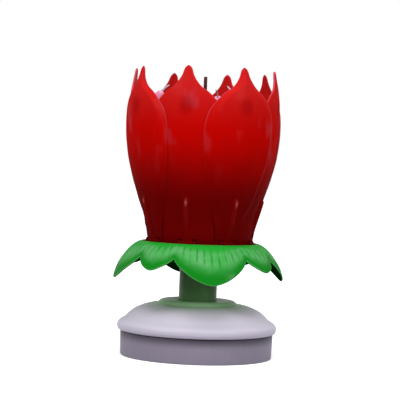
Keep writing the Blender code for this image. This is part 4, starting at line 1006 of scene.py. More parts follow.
@dataclass
class Base:
    """The drum, the domed lid and the neck, with what shows of them from below."""

    steps: int = 128
    wall: float = 1.6 * MM
    lid_steps: int = 90
    inside_steps: int = 60
    inside_start: float = 0.10  # share of the outline's length at which the lid's inside begins
    inside_r: float = 0.955  # share of the lid's radius that its inside keeps to
    draft: float = 0.35 * MM
    rim_h: float = 1.0 * MM
    rim_slope: float = 0.3 * MM
    floor_t: float = 1.8 * MM
    foot_round: float = 0.6 * MM
    spigot: float = 0.8 * MM
    neck_wall: float = 1.3 * MM
    neck_round: float = 0.25 * MM
    cut_reach: float = 5 * MM
    door_margin: tuple = (-0.6, 0.35, 0)  # mm; less than nothing in x, where its pins stick out
    door_round: float = 0.3 * MM
    pin_r: float = 0.55 * MM
    pin_play: float = 0.1 * MM
    slot_count: int = 5
    slot_w: float = 1.0 * MM
    slot_pitch: float = 2.6 * MM
    slot_l: float = 11 * MM
    slot_round: float = 0.2 * MM
    disc_x: float = -22.4 * MM
    disc_y: float = 4.2 * MM
    # Lid outline from the lip to the flat top: shares of its radius and of its height
    lid_shares: tuple = (
        (0.966, 0.000), (0.978, 0.008), (0.9915, 0.050), (0.9995, 0.115), (0.9985, 0.180),
        (0.985, 0.255), (0.953, 0.325), (0.920, 0.375), (0.897, 0.420), (0.876, 0.475),
        (0.845, 0.555), (0.790, 0.660), (0.720, 0.748), (0.640, 0.818), (0.570, 0.855),
        (0.530, 0.866), (0.506, 0.880), (0.490, 0.915), (0.474, 0.955), (0.450, 0.985),
        (0.420, 0.998), (0.330, 1.000),
    )

    def build(self) -> None:
        """Build every piece of the base."""
        self.lid()
        self.drum()
        self.neck()

    def lid(self) -> None:
        """The lid as one spun shell."""
        low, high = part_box("base_lid")
        radius, height = high.x, high.z - low.z
        hole = (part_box("spindle_bush")[1].x + GAP, high.z)
        outside = Path([(radius * r, low.z + height * z) for r, z in self.lid_shares] + [hole])
        inner = []
        for step in range(self.inside_steps + 1):
            share = self.inside_start + (1 - self.inside_start) * step / self.inside_steps
            along = outside.length * share
            spot, facing = outside.at(along), outside.facing(along)
            inner.append((
                min(spot[0] + facing[0] * self.wall, radius * self.inside_r),
                spot[1] + facing[1] * self.wall,
            ))
        section = outside.sampled(self.lid_steps) + inner[::-1] + [(inner[0][0], low.z)]
        lid = spun(section, self.steps, closed=True)
        piece("lid_shell", lid, LID_PLASTIC, "base", ["base_lid"], sharp=50)

    def drum(self) -> None:
        """The drum with its foot rim, floor, door opening, sound slots and screw wells."""
        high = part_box("base_drum")[1]
        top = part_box("base_lid")[0].z - GAP
        inner_r = high.x - self.wall - self.draft
        floor_z = self.rim_h + self.floor_t
        section = rounded([
            (0, self.rim_h), (inner_r - self.rim_slope, self.rim_h), (inner_r, 0),
            (inner_r + self.wall, 0), (high.x, top), (inner_r + self.spigot, top),
            (inner_r + self.spigot, high.z), (inner_r, high.z), (inner_r, floor_z), (0, floor_z),
        ], self.foot_round)
        shape = spun(section, self.steps)
        drum = piece("drum_shell", shape, DRUM_PLASTIC, "base", ["base_drum"], sharp=30)
        carve(drum, [*self.door_cuts(), *self.slot_cuts(), *self.screw_cuts(floor_z)])

    def door_cuts(self) -> list[bmesh.types.BMesh]:
        """What opens the floor for the battery door, and the holes for its pins."""
        low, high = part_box("battery_door")
        margin = Vector(self.door_margin) * MM
        reach = Vector((0, 0, self.cut_reach))
        hinge = joint_place("door_hinge")
        pins = Vector((high.x + self.pin_play, 0, 0))
        return [
            brick(low - margin - reach, high + margin + reach, self.door_round),
            rod(hinge - pins, hinge + pins, self.pin_r + self.pin_play, sides=20),
        ]

    def slot_cuts(self) -> list[bmesh.types.BMesh]:
        """The slots under the sound disc."""
        half = Vector((self.slot_l / 2, self.slot_w / 2, self.cut_reach))
        cuts = []
        for step in range(self.slot_count):
            y = self.disc_y + (step - (self.slot_count - 1) / 2) * self.slot_pitch
            middle = Vector((self.disc_x, y, 0))
            cuts.append(brick(middle - half, middle + half, self.slot_round))
        return cuts

    def screw_cuts(self, floor_z: float) -> list[bmesh.types.BMesh]:
        """The wells of the three screws, up to the top of the floor."""
        cuts = []
        for number in range(1, 4):
            low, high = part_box(f"base_screw_{number}")
            middle = (low + high) / 2
            foot = Vector((middle.x, middle.y, -self.cut_reach))
            head = Vector((middle.x, middle.y, floor_z + GAP))
            cuts.append(rod(foot, head, (high.x - low.x) / 2 + GAP, sides=32))
        return cuts

    def neck(self) -> None:
        """The neck tube, with its flange under the lid."""
        low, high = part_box("neck_tube")
        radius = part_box("spindle_bush")[1].x
        bore = radius - self.neck_wall
        flange_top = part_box("base_lid")[1].z - self.wall - GAP
        section = [
            (bore, low.z), (high.x, low.z), (high.x, flange_top), (radius, flange_top),
            (radius, high.z), (bore, high.z),
        ]
        neck = spun(rounded([*section, section[0]], self.neck_round, 3))
        piece("neck_shell", neck, LID_PLASTIC, "base", ["neck_tube"])


@dataclass
class Calyx:
    """The green bell under the petals: a cup round the hub, and a skirt of eight pleated sepals."""

    thickness: float = 1.0 * MM
    boss_r: float = 5.3 * MM
    cup_r: float = 27.6 * MM
    cup_depth: float = 7.8 * MM  # of its floor below the top of the pusher ring
    cup_round: float = 1.0 * MM
    roll: float = 1.2 * MM
    roll_degrees: tuple = (165, 150, 135, 120, 108, 98)
    tip_r: float = 42.9 * MM
    skirt_drop: float = 19.6 * MM
    turn: float = math.radians(9.6)
    sepals: int = 4  # large ones, with as many small ones between them
    large_half: float = math.radians(29)
    roundness: Point = (1.60, 0.88)  # powers that shape a sepal's end
    notch_reach: float = 11.0 * MM
    small_reach: float = 18.5 * MM
    large_reach: float = 24.6 * MM
    cup_rows: int = 14
    skirt_rows: int = 34
    columns: int = 576
    pleats: int = 64
    pleat_power: int = 7
    pleat_depth: float = 0.26 * MM
    pleat_rise: Span = (0.12, 0.16)  # shares of the way out, as is the next one
    pleat_fall: Span = (0.50, 0.35)
    bulge: float = 0.7 * MM
    bulge_gain: float = 1.6
    bulge_level: float = 0.75
    # Skirt profile: shares of the way from the roll to the tips, and of the drop
    skirt_shares: tuple = (
        (0.000, 0.000), (0.085, 0.012), (0.200, 0.048), (0.340, 0.122), (0.480, 0.220),
        (0.600, 0.333), (0.705, 0.440), (0.795, 0.550), (0.860, 0.650), (0.910, 0.760),
        (0.960, 0.880), (1.000, 1.000),
    )

    def build(self) -> None:
        """Lay the paths of cup and skirt, and build the bell along them."""
        self.cup, self.skirt = self.paths(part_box("calyx")[1].z)
        shape = weld(joined([self.surface(1), self.surface(-1)]), SEAM)
        piece("calyx_bell", shape, CALYX_GREEN, "flower", ["calyx"], sharp=60)

    def paths(self, top: float) -> tuple[Path, Path]:
        """The cup's path from its floor's hole to the roll, and the skirt's from there out."""
        floor_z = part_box("pusher_ring")[1].z - self.cup_depth
        middle = (self.cup_r + self.roll, top - self.roll)
        corners = [(self.boss_r, floor_z), (self.cup_r, floor_z), (self.cup_r, middle[1])]
        cup = rounded(corners, self.cup_round, 3)
        for degrees in self.roll_degrees:
            angle = math.radians(degrees)
            cup.append((
                middle[0] + self.roll * math.cos(angle), middle[1] + self.roll * math.sin(angle),
            ))
        start = cup[-1]
        skirt = [
            (start[0] + (self.tip_r - start[0]) * r, start[1] - self.skirt_drop * z)
            for r, z in self.skirt_shares
        ]
        return Path(cup), Path(skirt)

    def reach(self, azimuth: float) -> tuple[float, float]:
        """How far the skirt reaches at an azimuth.

        Args:
            azimuth: The angle from the front.

        Returns:
            The reach in metres, and how near the azimuth is to its sepal's middle, from 0 to 1.
        """
        pitch = math.tau / self.sepals
        away = abs(math.remainder(azimuth - self.turn, pitch))
        if away <= self.large_half:
            share, longest = away / self.large_half, self.large_reach
        else:
            share = (pitch / 2 - away) / (pitch / 2 - self.large_half)
            longest = self.small_reach
        inner, outer = self.roundness
        bulge = (1 - abs(share) ** inner) ** outer
        return self.notch_reach + (longest - self.notch_reach) * bulge, 1 - share

    def pleat(self, azimuth: float, out: float) -> float:
        """How deep in a groove between two pleats a point of the skirt lies, from 0 to 1."""
        wave = (math.cos(self.pleats * (azimuth - self.turn)) + 1) / 2
        fade = grown(out, self.pleat_rise) * (1 - grown(out, self.pleat_fall))
        return wave ** self.pleat_power * fade

    def surface(self, side: int) -> bmesh.types.BMesh:
        """One face of the bell.

        Args:
            side: 1 for the upper face, -1 for the lower.

        Returns:
            The face, closed round the axis, with its paint.
        """
        rows = self.cup_rows + self.skirt_rows
        split = self.cup_rows / rows
        half = self.thickness / 2
        shape = sheet_grid(self.columns, rows)
        names = ("reach", "rim", "groove", "under")
        layers = {name: shape.verts.layers.float.new(name) for name in names}
        for vert in shape.verts:
            azimuth, share = math.pi * vert.co.x, vert.co.y
            longest, centred = self.reach(azimuth)
            out = 0.0
            if share <= split:
                path, length = self.cup, self.cup.length * share / split
                edge = length
            else:
                out = math.sin((share - split) / (1 - split) * math.pi / 2)
                path, length = self.skirt, min(longest, self.skirt.length) * out
                edge = longest * (1 - out)
            radius, height = path.at(length)
            facing = path.facing(length)
            groove = self.pleat(azimuth, out)
            offset = face_offset(side, half, edge) - half - groove * self.pleat_depth
            if out:
                swell = eased(centred * self.bulge_gain) - self.bulge_level
                offset += self.bulge * eased(out) * swell
            vert.co = around(azimuth, radius + facing[0] * offset, height + facing[1] * offset)
            vert[layers["reach"]] = out
            vert[layers["rim"]] = 1 - min(edge / RIM_W, 1.0) if out else 0.0
            vert[layers["groove"]] = groove
            vert[layers["under"]] = float(side < 0 or share < split * 0.9)
        bmesh.ops.remove_doubles(shape, verts=shape.verts, dist=MERGE)
        return shape


@dataclass
class Bud:
    """The eight petals with their hinge parts, and a candle with its wick in a cup inside each.

    A share is of a petal's height, from its foot.
    """

    thickness: float = 1.0 * MM
    taper: float = 5.0 * MM  # width of the thinner strip along the sides of an outer petal
    thinning: float = 0.38 * MM
    sinking: float = 0.74 * MM
    thin_rise: Span = (0.09, 0.08)
    wave_h: float = 0.03 * MM
    wave_rates: tuple = (7, 2.4, 4.2)  # radians up a petal, from one to the next, and across
    foot_fade: float = 0.1
    foot_drop: float = 0.6 * MM
    ear_reach: Point = (2.62 * MM, 4.65 * MM)
    ear_notch: float = 2.1 * MM
    apron: float = 0.8 * MM  # how far the foot reaches further down beside the ears
    radius: float = 39.1 * MM
    half_angle: float = math.radians(31.3)
    layer_step: float = 1.5 * MM
    layer_rise: float = 0.15
    lean_reach: float = 0.004
    twists: tuple = tuple(math.radians(turn) for turn in (0, 0, 0, 0, 0.8, -5.4, -4.2, 7.4))
    columns: int = 64
    rows: int = 96
    side_tight: float = 0.78  # how much closer the grid's lines are at the sides and middle
    end_tight: float = 0.6  # and at the foot and tip
    across_unit: float = 12 * MM
    rib_h: float = 1.30 * MM
    rib_half: float = 2.2 * MM
    rib_top: float = 0.264
    rib_foot: float = 0.45  # share of its height that a rib has at the foot
    rib_rise: Span = (0.05, 0.10)
    rib_end: float = 0.018
    rib_narrow: Point = (0.95, 0.10)
    rib_power: float = 1.3
    rib_fade: int = 3  # powers by which the colours of rib and crest fade beside their middle
    crest_fade: int = 10
    crest_rise: Span = (0.214, 0.03)
    knuckle_r: float = 1.2 * MM
    knuckle_half: float = 2.7 * MM
    knuckle_round: float = 0.2 * MM
    trunnion_r: float = 0.6 * MM
    trunnion_half: float = 4.4 * MM
    trunnion_round: float = 0.1 * MM
    heel_l: float = 5.7 * MM
    heel_half: float = 2.2 * MM
    heel_t: float = 1.2 * MM
    heel_round: float = 0.25 * MM
    nose_r: float = 0.8 * MM
    nose_drop: float = 0.4 * MM
    nose_round: float = 0.15 * MM
    cup_height: float = 58 * MM
    cup_lean: float = math.radians(35)
    cup_bore: float = 2.4 * MM
    cup_wall: float = 0.7 * MM
    cup_floor: float = 1.0 * MM
    cup_depth: float = 3.0 * MM
    cup_round: float = 0.2 * MM
    web_half: float = 0.7 * MM
    web_drop: float = 7.5 * MM
    wall_bite: float = 0.4 * MM  # how far cup and web reach into the petal's wall
    candle_r: float = 2.1 * MM
    candle_l: float = 18 * MM
    candle_rings: int = 56
    candle_sides: int = 32
    drip: float = 0.05 * MM
    hollow: Point = (1.3, 1.2)  # radii at its rim and floor, in radii of the wick
    hollow_rim: float = 0.972  # share of the candle's length
    wick_r: float = 0.45 * MM
    wick_root: float = 2.0 * MM
    wick_out: float = 4.2 * MM
    wick_curl: float = 1.6 * MM
    wick_steps: int = 24
    wick_twist: float = 5 * math.pi
    wick_lobes: float = 0.28
    # Candle outline up to the hollow: shares of its radius and of its length
    candle_shares: tuple = (
        (0.0, 0.0), (0.93, 0.0), (1.0, 0.02), (0.985, 0.5), (0.96, 0.90), (0.88, 0.955),
        (0.66, 0.988), (0.42, 0.990),
    )
    # Rows: shares of the height, of the radius, and of the half angle for outer and inner petals
    row_shares: tuple = (
        (0.000, 0.660, 0.475, 0.950), (0.110, 0.735, 0.550, 0.945), (0.240, 0.821, 0.770, 0.900),
        (0.265, 0.836, 0.800, 0.895), (0.380, 0.904, 0.915, 0.940), (0.510, 0.966, 0.985, 0.985),
        (0.640, 0.995, 1.000, 1.000), (0.740, 1.000, 0.910, 0.910), (0.808, 0.997, 0.720, 0.720),
        (0.848, 0.988, 0.560, 0.560), (0.890, 0.976, 0.320, 0.320), (0.945, 0.958, 0.155, 0.155),
        (0.985, 0.945, 0.090, 0.090), (1.000, 0.940, 0.020, 0.020),
    )

    @property
    def cup_r(self) -> float:
        """The outer radius of a candle's cup."""
        return self.cup_bore + self.cup_wall

    @staticmethod
    def is_outer(number: int) -> bool:
        """Whether a petal is in the outer layer."""
        return number % 2 == 1

    def build(self) -> None:
        """Build the petals from the frame's hinges."""
        heights = [row[0] for row in self.row_shares]
        self.radius_at = Curve(heights, [self.radius * row[1] for row in self.row_shares])
        self.half_at = {
            outer: Curve(heights, [self.half_angle * row[column] for row in self.row_shares])
            for outer, column in ((True, 2), (False, 3))
        }
        for number in range(1, 9):
            middle = joint_place(f"petal_{number}_hinge")
            self.foot_z = middle.z - self.foot_drop
            self.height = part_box(f"petal_{number}")[1].z - self.foot_z
            self.petal(number, math.atan2(middle.x, -middle.y), middle)

    def inset(self, share: float, outer: bool) -> float:
        """How far an inner petal lies inside the outline at a share."""
        return 0.0 if outer else self.layer_step * eased(share / self.layer_rise)

    def wall(self, share: float, outer: bool) -> tuple[float, float]:
        """The outside's radius and its lean from upright at a share."""
        low, high = max(share - self.lean_reach, 0.0), min(share + self.lean_reach, 1.0)
        near, far = (self.radius_at(end) - self.inset(end, outer) for end in (low, high))
        lean = math.atan2(far - near, (high - low) * self.height)
        return self.radius_at(share) - self.inset(share, outer), lean

    def surface(self, side: int, number: int, azimuth: float) -> bmesh.types.BMesh:
        """One face of a petal.

        Args:
            side: 1 for the outside, -1 for the inside.
            number: The petal's number.
            azimuth: The azimuth of its hinge.

        Returns:
            The face with its paint.
        """
        outer = self.is_outer(number)
        shape = sheet_grid(
            self.columns, self.rows,
            lambda x: x - math.copysign(
                self.side_tight / math.tau * math.sin(math.tau * abs(x)), x,
            ),
            lambda y: y - self.end_tight / math.tau * math.sin(math.tau * y),
        )
        names = ("rise", "across", "rim", "rib", "crest")
        layers = {name: shape.verts.layers.float.new(name) for name in names}
        for vert in shape.verts:
            across, share = vert.co.x, vert.co.y
            foot = self.foot(across * self.half_at[outer](0) * self.radius_at(0))
            share += foot * max(0.0, 1 - share / self.foot_fade)
            radius, lean = self.wall(share, outer)
            half_width = self.half_at[outer](share) * radius
            side_edge = (1 - abs(across)) * half_width
            edge = min(side_edge, (share - foot) * self.height, (1 - share) * self.height)
            thin = 0.0
            if outer:
                thin = (1 - eased(side_edge / self.taper)) * grown(share, self.thin_rise)
            half = self.thickness / 2 - self.thinning * thin
            offset = face_offset(side, half, edge) - self.thickness / 2
            offset += self.ripple(number, across, share) - self.sinking * thin
            rib = self.rib(across * half_width, share) if side > 0 else 0.0
            offset += rib
            twist = self.twists[number - 1] * share * share
            vert.co = around(
                azimuth + twist + across * half_width / radius, radius + offset * math.cos(lean),
                self.foot_z + share * self.height - offset * math.sin(lean),
            )
            vert[layers["rise"]] = share
            vert[layers["across"]] = across * half_width / self.across_unit
            vert[layers["rim"]] = 1 - min(edge / RIM_W, 1.0)
            crest = (rib / self.rib_h) ** self.crest_fade
            vert[layers["rib"]] = (rib / self.rib_h) ** self.rib_fade
            vert[layers["crest"]] = crest * grown(share, self.crest_rise)
        return shape

    def foot(self, away: float) -> float:
        """The share at which the foot's edge lies: over the ears of the hub or beside them."""
        low, high = self.ear_reach
        if abs(away) < low:
            return 0.0
        return (self.ear_notch if abs(away) < high else -self.apron) / self.height

    def ripple(self, number: int, across: float, share: float) -> float:
        """The slow waves of a thin moulded leaf."""
        up, onwards, sideways = self.wave_rates
        wave = math.sin(up * share + onwards * number) * math.sin(sideways * across + number)
        return self.wave_h * wave * eased(share / self.foot_fade)

    def rib(self, away: float, share: float) -> float:
        """The height of the blunt rib low on the outside."""
        height = self.rib_foot + (1 - self.rib_foot) * grown(share, self.rib_rise)
        blunt = math.sqrt(max(0.0, min(1.0, (self.rib_top - share) / self.rib_end)))
        widest, narrowing = self.rib_narrow
        width = self.rib_half * (widest - narrowing * share / self.rib_top)
        across = max(0.0, 1 - (abs(away) / width) ** 2)
        return self.rib_h * height * blunt * across ** self.rib_power

    def petal(self, number: int, azimuth: float, middle: Vector) -> None:
        """One petal with its hinge parts and cup, its candle and its wick."""
        body = f"petal_{number}_body"
        shell = weld(joined([self.surface(side, number, azimuth) for side in (1, -1)]), SEAM)
        base, along, turn = self.cup_axis(number, azimuth)
        parts = [
            *self.hinge_parts(azimuth, middle), self.cup(base, along), self.web(number, turn),
        ]
        for part in parts:
            paint_rise(part, self.foot_z, self.height)
            for name, value in (("across", 1.0), ("rib", 0.0), ("crest", 0.0)):
                paint(part, name, lambda vert: value)
        petal = joined([shell, *parts])
        piece(f"petal_leaf_{number}", petal, PETAL_RED, body, [f"petal_{number}"], sharp=45)
        foot = base + along * (self.cup_floor + GAP)
        root = foot + along * (self.candle_l - self.wick_root + GAP)
        self.candle(number, foot, along, body)
        self.wick(number, root, along, -around(azimuth, 1.0, 0.0), body)

    def hinge_parts(self, azimuth: float, middle: Vector) -> list[bmesh.types.BMesh]:
        """The knuckle, the trunnions, the heel and the heel's round nose."""
        outward = around(azimuth, 1.0, 0.0)
        across = Vector((math.cos(azimuth), math.sin(azimuth), 0))
        nose = middle - outward * self.heel_l - Vector((0, 0, self.nose_drop))
        bars = (  # middle, half length, radius, sides and rounding
            (middle, self.knuckle_half, self.knuckle_r, 20, self.knuckle_round),
            (middle, self.trunnion_half, self.trunnion_r, 16, self.trunnion_round),
            (nose, self.heel_half, self.nose_r, 16, self.nose_round),
        )
        parts = [
            rod(spot - across * half, spot + across * half, radius, sides, soft)
            for spot, half, radius, sides, soft in bars
        ]
        heel = brick(
            Vector((-self.heel_half, 0, -self.heel_t / 2)),
            Vector((self.heel_half, self.heel_l, self.heel_t / 2)), self.heel_round,
        )
        heel.transform(Matrix.Translation(middle) @ Matrix.Rotation(azimuth, 4, "Z"))
        return [*parts, heel]

    def cup(self, base: Vector, along: Vector) -> bmesh.types.BMesh:
        """The cup that a candle stands in."""
        top = self.cup_floor + self.cup_depth
        section = rounded([
            (0, 0), (self.cup_r, 0), (self.cup_r, top), (self.cup_bore, top),
            (self.cup_bore, self.cup_floor), (0, self.cup_floor),
        ], self.cup_round, 2)
        shape = spun(section, self.candle_sides)
        shape.transform(standing(base, along))
        return shape

    def cup_axis(self, number: int, azimuth: float) -> tuple[Vector, Vector, float]:
        """The middle of the cup's foot, the direction of its axis and its azimuth."""
        share = self.cup_height / self.height
        turn = azimuth + self.twists[number - 1] * share * share
        radius = self.wall(share, self.is_outer(number))[0]
        base_r = radius - self.thickness + self.wall_bite - self.cup_r * math.cos(self.cup_lean)
        base_z = self.foot_z + self.cup_height
        base = around(turn, base_r, base_z)
        ahead = around(turn, base_r - math.sin(self.cup_lean), base_z + math.cos(self.cup_lean))
        return base, (ahead - base).normalized(), turn

    def web(self, number: int, turn: float) -> bmesh.types.BMesh:
        """The thin web that carries the cup off the petal's wall."""

        def inside(height: float) -> float:
            """The radius just inside the petal's wall at a height above its foot."""
            radius = self.wall(height / self.height, self.is_outer(number))[0]
            return radius - self.thickness + self.wall_bite

        foot = self.cup_height - self.web_drop
        corner = self.cup_height + self.cup_r * math.sin(self.cup_lean)
        nose_r = inside(corner) - 2 * self.cup_r * math.cos(self.cup_lean) + self.cup_wall
        nose_z = (
            self.cup_height - self.cup_r * math.sin(self.cup_lean) + self.cup_floor / 2
            + self.cup_wall
        )
        outline = [
            (inside(foot), foot), (inside(corner), corner + self.cup_floor / 2), (nose_r, nose_z),
        ]
        shape = bmesh.new()
        side = Vector((math.cos(turn), math.sin(turn), 0)) * self.web_half
        verts = [shape.verts.new(around(turn, r, self.foot_z + z) - side) for r, z in outline]
        face = shape.faces.new(verts)
        made = bmesh.ops.extrude_face_region(shape, geom=[face], use_keep_orig=True)
        moved = [item for item in made["geom"] if isinstance(item, bmesh.types.BMVert)]
        bmesh.ops.translate(shape, verts=moved, vec=side * 2)
        bmesh.ops.recalc_face_normals(shape, faces=shape.faces)
        return shape

    def candle(self, number: int, foot: Vector, along: Vector, body: str) -> None:
        """A small candle with a soft shoulder and a hollow round its wick."""
        length, radius = self.candle_l, self.candle_r
        root = length - self.wick_root
        path = Path([
            *((radius * r, length * z) for r, z in self.candle_shares),
            (self.wick_r * self.hollow[0], self.hollow_rim * length),
            (self.wick_r * self.hollow[1], root), (0.0, root),
        ])
        shape = spun(path.sampled(self.candle_rings), self.candle_sides)
        paint_rise(shape, 0.0, length)
        for vert in shape.verts:
            turn = math.atan2(vert.co.y, vert.co.x)
            run = self.drip * math.sin(3 * turn + 1.7 * number)
            run *= eased(vert.co.z / length * 3 - 2)
            reach = math.hypot(vert.co.x, vert.co.y)
            if reach > radius / 2:
                vert.co.xy *= 1 - (run + self.drip) / reach
        shape.transform(standing(foot, along))
        piece(f"candle_stick_{number}", shape, PINK_WAX, body, [f"candle_{number}"], sharp=60)

    def wick(
        self, number: int, root: Vector, along: Vector, inward: Vector, body: str,
    ) -> None:
        """A twisted cotton wick that curls over a little."""
        straight = self.wick_root - GAP
        length = straight + self.wick_out
        route = []
        for step in range(self.wick_steps + 1):
            share = step / self.wick_steps
            past = max(0.0, share * length - straight) / self.wick_out
            bend = inward * (self.wick_curl * past * past)
            route.append(root + along * (share * length) + bend)
        shape = swept(
            route, lambda share: self.wick_r * (1.0 if share < 0.95 else 0.75), 12,
            self.wick_twist, self.wick_lobes,
        )
        paint_rise(shape, root.z, route[-1].z - root.z)
        piece(f"wick_thread_{number}", shape, COTTON, body, [f"wick_{number}"], sharp=70)


@dataclass
class Fountain:
    """The firework tube in the middle of the bud, its charge and its fuse."""

    wall: float = 0.9 * MM
    lip_round: float = 0.2 * MM
    wrap_turns: float = 9.0
    wrap_cuts: int = 80
    wrap_w: float = 0.08  # width of the wrap's seam, in turns
    wrap_depth: float = 0.08 * MM
    dome_h: float = 0.5 * MM
    dome_round: float = 0.3 * MM
    fuse_steps: int = 60
    fuse_twist: float = 14 * math.pi
    fuse_lobes: float = 0.10

    def build(self) -> None:
        """Build the tube, the charge and the fuse."""
        self.tube()
        fuse_low, fuse_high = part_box("fuse")
        self.charge(fuse_high.x + GAP, fuse_low.z - GAP)
        self.fuse(fuse_low.z, fuse_high.z, fuse_high.x)

    def tube(self) -> None:
        """The paper tube, with the seam of its wrap running up it."""
        low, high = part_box("fountain_tube")
        height, bore = high.z - low.z, high.x - self.wall
        section = rounded([
            (bore, low.z), (high.x, low.z), (high.x, high.z), (bore, high.z), (bore, low.z),
        ], self.lip_round, 2)
        tube = spun(section[:-1], 64, closed=True)
        upright = [edge for edge in tube.edges if edge.calc_length() > height / 2]
        bmesh.ops.subdivide_edges(tube, edges=upright, cuts=self.wrap_cuts, use_grid_fill=True)
        for vert in tube.verts:
            if math.hypot(vert.co.x, vert.co.y) > high.x - self.wall / 3:
                share = (vert.co.z - low.z) / height
                turn = math.atan2(vert.co.y, vert.co.x) / math.tau + self.wrap_turns * share
                seam = math.exp(-(((turn % 1) / self.wrap_w) ** 2))
                vert.co.xy *= 1 - self.wrap_depth * seam / high.x
        paint_rise(tube, low.z, height)
        piece("firework_tube", tube, TUBE_PAPER, "flower", ["fountain_tube"], sharp=50)

    def charge(self, hole_r: float, hole_z: float) -> None:
        """The pressed charge, domed towards the hole that the fuse stands in."""
        low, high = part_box("fountain_charge")
        section = rounded([
            (0, low.z), (high.x, low.z), (high.x, high.z - self.dome_h), (hole_r, high.z),
            (hole_r, hole_z), (0, hole_z),
        ], self.dome_round, 3)
        piece("firework_charge", spun(section, 48), CHARGE, "flower", ["fountain_charge"])

    def fuse(self, low: float, high: float, radius: float) -> None:
        """The twisted fuse, a little uneven."""

        def thick(share: float) -> float:
            """The radius at a share of the length."""
            uneven = 0.97 + 0.03 * math.sin(90 * share)
            return radius * uneven * (0.85 if share > 0.99 else 1)

        route = [
            Vector((0, 0, low + (high - low) * step / self.fuse_steps))
            for step in range(self.fuse_steps + 1)
        ]
        fuse = swept(route, thick, 16, self.fuse_twist, self.fuse_lobes)
        paint_rise(fuse, low, high - low)
        piece("fuse_stick", fuse, FUSE_PAPER, "flower", ["fuse"], sharp=70)


@dataclass
class Works:
    """The hub, the pusher, the drive and the sound unit, in the frame's own shapes."""

    bevel: float = 0.12 * MM
    bevel_angle: float = math.radians(40)
    flat_angle: float = math.radians(0.5)
    # Nodes that get a copy with softened edges, with the body that each rides on
    copied: tuple = (
        ("petal_hub", HUB_RED, "flower"), ("pusher_ring", RING_SHADE_RED, "pusher"),
        ("trigger_pin", STEEL, "pusher"), ("battery_door", DRUM_PLASTIC, "door"),
        ("base_screw_1", STEEL, "base"), ("base_screw_2", STEEL, "base"),
        ("base_screw_3", STEEL, "base"), ("spindle_bush", ACETAL, "base"),
        ("output_gear", ACETAL, "flower"), ("compound_gear", ACETAL, "compound"),
        ("motor_pinion", BRASS, "pinion"), ("gearbox_plate", ACETAL, "base"),
    )
    # Nodes that are dressed as they are
    kept: tuple = (
        ("aa_cell", SLEEVE), ("contact_plate", STEEL), ("contact_spring", STEEL),
        ("motor_can", STEEL), ("motor_end_cap", DARK_PLASTIC), ("gear_axle", STEEL),
        ("spindle", ACETAL), ("music_board", BOARD_GREEN), ("sound_chip", DARK_PLASTIC),
        ("piezo_disc", BRASS), ("switch_block", DARK_PLASTIC), ("switch_contact", BRASS),
        ("switch_leaf", BRASS), ("trigger_rod", STEEL), ("opening_spring", STEEL),
    )

    def build(self) -> None:
        """Put softened copies where edges show, and dress the other nodes."""
        for node, finish, body in self.copied:
            self.softened(node, finish, body)
        for node, finish in self.kept:
            mesh = frame["nodes"][node].data
            mesh.materials.clear()
            mesh.materials.append(finish.material())
            LOG.info("%s dressed in %s", node, finish.slot.value)

    def softened(self, node: str, finish: Finish, body: str) -> None:
        """A copy of a node with merged points and small bevels."""
        shape = bmesh.new()
        shape.from_mesh(frame["nodes"][node].data)
        bmesh.ops.remove_doubles(shape, verts=shape.verts, dist=MERGE)
        bmesh.ops.dissolve_limit(
            shape, angle_limit=self.flat_angle, verts=shape.verts, edges=shape.edges,
        )
        made = piece(f"{node}_dressed", shape, finish, body, [node], sharp=35)
        soft = made.modifiers.new("soft_edges", "BEVEL")
        soft.width = self.bevel
        soft.segments = 2
        soft.limit_method = "ANGLE"
        soft.angle_limit = self.bevel_angle
        soft.harden_normals = True


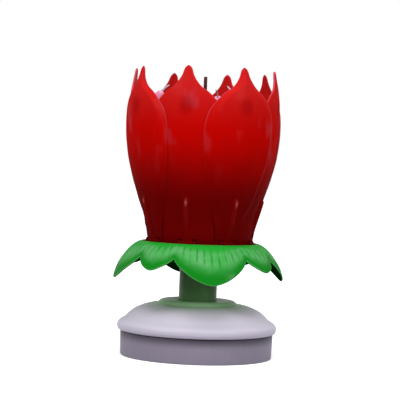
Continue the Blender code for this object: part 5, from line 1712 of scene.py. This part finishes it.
@dataclass
class Studio:
    """Floor, world, lamps and the camera at the photograph's place."""

    picture: int = 400
    px: float = 0.5 * MM  # of the object, at its axis
    centre_x: float = -0.6 * MM
    centre_z: float = 78.0 * MM
    eye_z: float = 95 * MM
    distance: float = 757 * MM
    roll: float = math.radians(2.1)
    sensor: float = 36.0
    clip: Range = (0.05, 20.0)
    white: Colour = (1.0, 1.0, 1.0)
    fill_colour: Colour = (0.86, 0.88, 1.0)
    fill: float = 0.26
    floor_r: float = 6.0
    floor_colour: Colour = (0.92, 0.92, 0.93)
    bounce_colour: Colour = (0.42, 0.41, 0.44)
    mottle_size: float = 0.2
    shadow_glow: float = 0.45  # how bright the floor shines near the candle, where its shadow lies
    shadow_r: Range = (0.08, 0.6)
    # Name, place, target, size in metres and power in watts
    lamps: tuple = (
        ("overhead", (0.02, -0.16, 0.86), (0.0, 0.0, 0.09), 0.62, 5.0),
        ("left_front", (-0.62, -0.66, 0.52), (0.0, 0.0, 0.10), 0.30, 4.2),
        ("right_front", (0.66, -0.52, 0.42), (0.0, 0.0, 0.10), 0.26, 2.6),
    )

    def build(self) -> None:
        """Set the stage."""
        self.floor()
        self.world()
        for name, place, target, size, power in self.lamps:
            self.lamp(name, Vector(place), Vector(target), size, power)
        self.camera()
        bpy.context.scene.view_settings.view_transform = "Standard"

    def floor(self) -> None:
        """A wide pale floor that looks near white and keeps the shadow."""
        shape = bmesh.new()
        bmesh.ops.create_circle(shape, cap_ends=True, radius=self.floor_r, segments=64)
        floor = placed("floor", shape)
        graph = Surface("floor_paper")
        seen = graph.seen()
        darker = tuple(part * 0.99 for part in self.floor_colour)
        mottle = graph.noise(self.mottle_size, 3.0).pick(self.floor_colour, darker)
        base = seen.pick(self.bounce_colour, mottle)
        graph.set(Base_Color=base, Roughness=0.9, Specular_IOR_Level=0.0)
        glow = self.shadow_glow + (1 - self.shadow_glow) * graph.radius().rise(*self.shadow_r)
        graph.set(Emission_Color=self.white, Emission_Strength=seen * glow)
        floor.data.materials.append(graph.material)

    def world(self) -> None:
        """White to the camera and in reflections, and a dim soft fill on the object."""
        world = bpy.data.worlds.new("studio_air")
        bpy.context.scene.world = world
        world.use_nodes = True
        graph = Graph(world.node_tree)
        background = world.node_tree.nodes["Background"]
        seen = graph.seen()
        graph.feed(background.inputs["Color"], seen.pick(self.fill_colour, self.white))
        graph.feed(background.inputs["Strength"], self.fill + (1 - self.fill) * seen)

    def lamp(self, name: str, place: Vector, target: Vector, size: float, power: float) -> None:
        """A square soft box that faces a target."""
        light = bpy.data.lights.new(name, "AREA")
        light.size = size
        light.energy = power
        made = bpy.data.objects.new(name, light)
        made.location = place
        made.rotation_euler = (target - place).to_track_quat("-Z", "Y").to_euler()
        bpy.context.scene.collection.objects.link(made)

    def camera(self) -> None:
        """The camera before the front, a little above the middle, rolled as the photograph is."""
        data = bpy.data.cameras.new("camera")
        data.sensor_width = self.sensor
        data.lens = self.sensor * self.distance / (self.picture * self.px)
        data.clip_start, data.clip_end = self.clip
        camera = bpy.data.objects.new("camera", data)
        target = Vector((self.centre_x, 0, self.centre_z))
        eye = Vector((self.centre_x, -self.distance, self.eye_z))
        turn = (target - eye).to_track_quat("-Z", "Y")
        camera.matrix_world = (
            Matrix.Translation(eye) @ turn.to_matrix().to_4x4()
            @ Matrix.Rotation(self.roll, 4, "Z")
        )
        bpy.context.scene.collection.objects.link(camera)
        bpy.context.scene.camera = camera


def main() -> None:
    """Dress the candle, from its stage to its petals."""
    logging.basicConfig(level=logging.INFO, format="%(message)s")
    for part in (Studio(), Base(), Calyx(), Works(), Fountain(), Bud()):
        LOG.info("building %s", type(part).__name__)
        part.build()


if __name__ == "__main__":
    main()
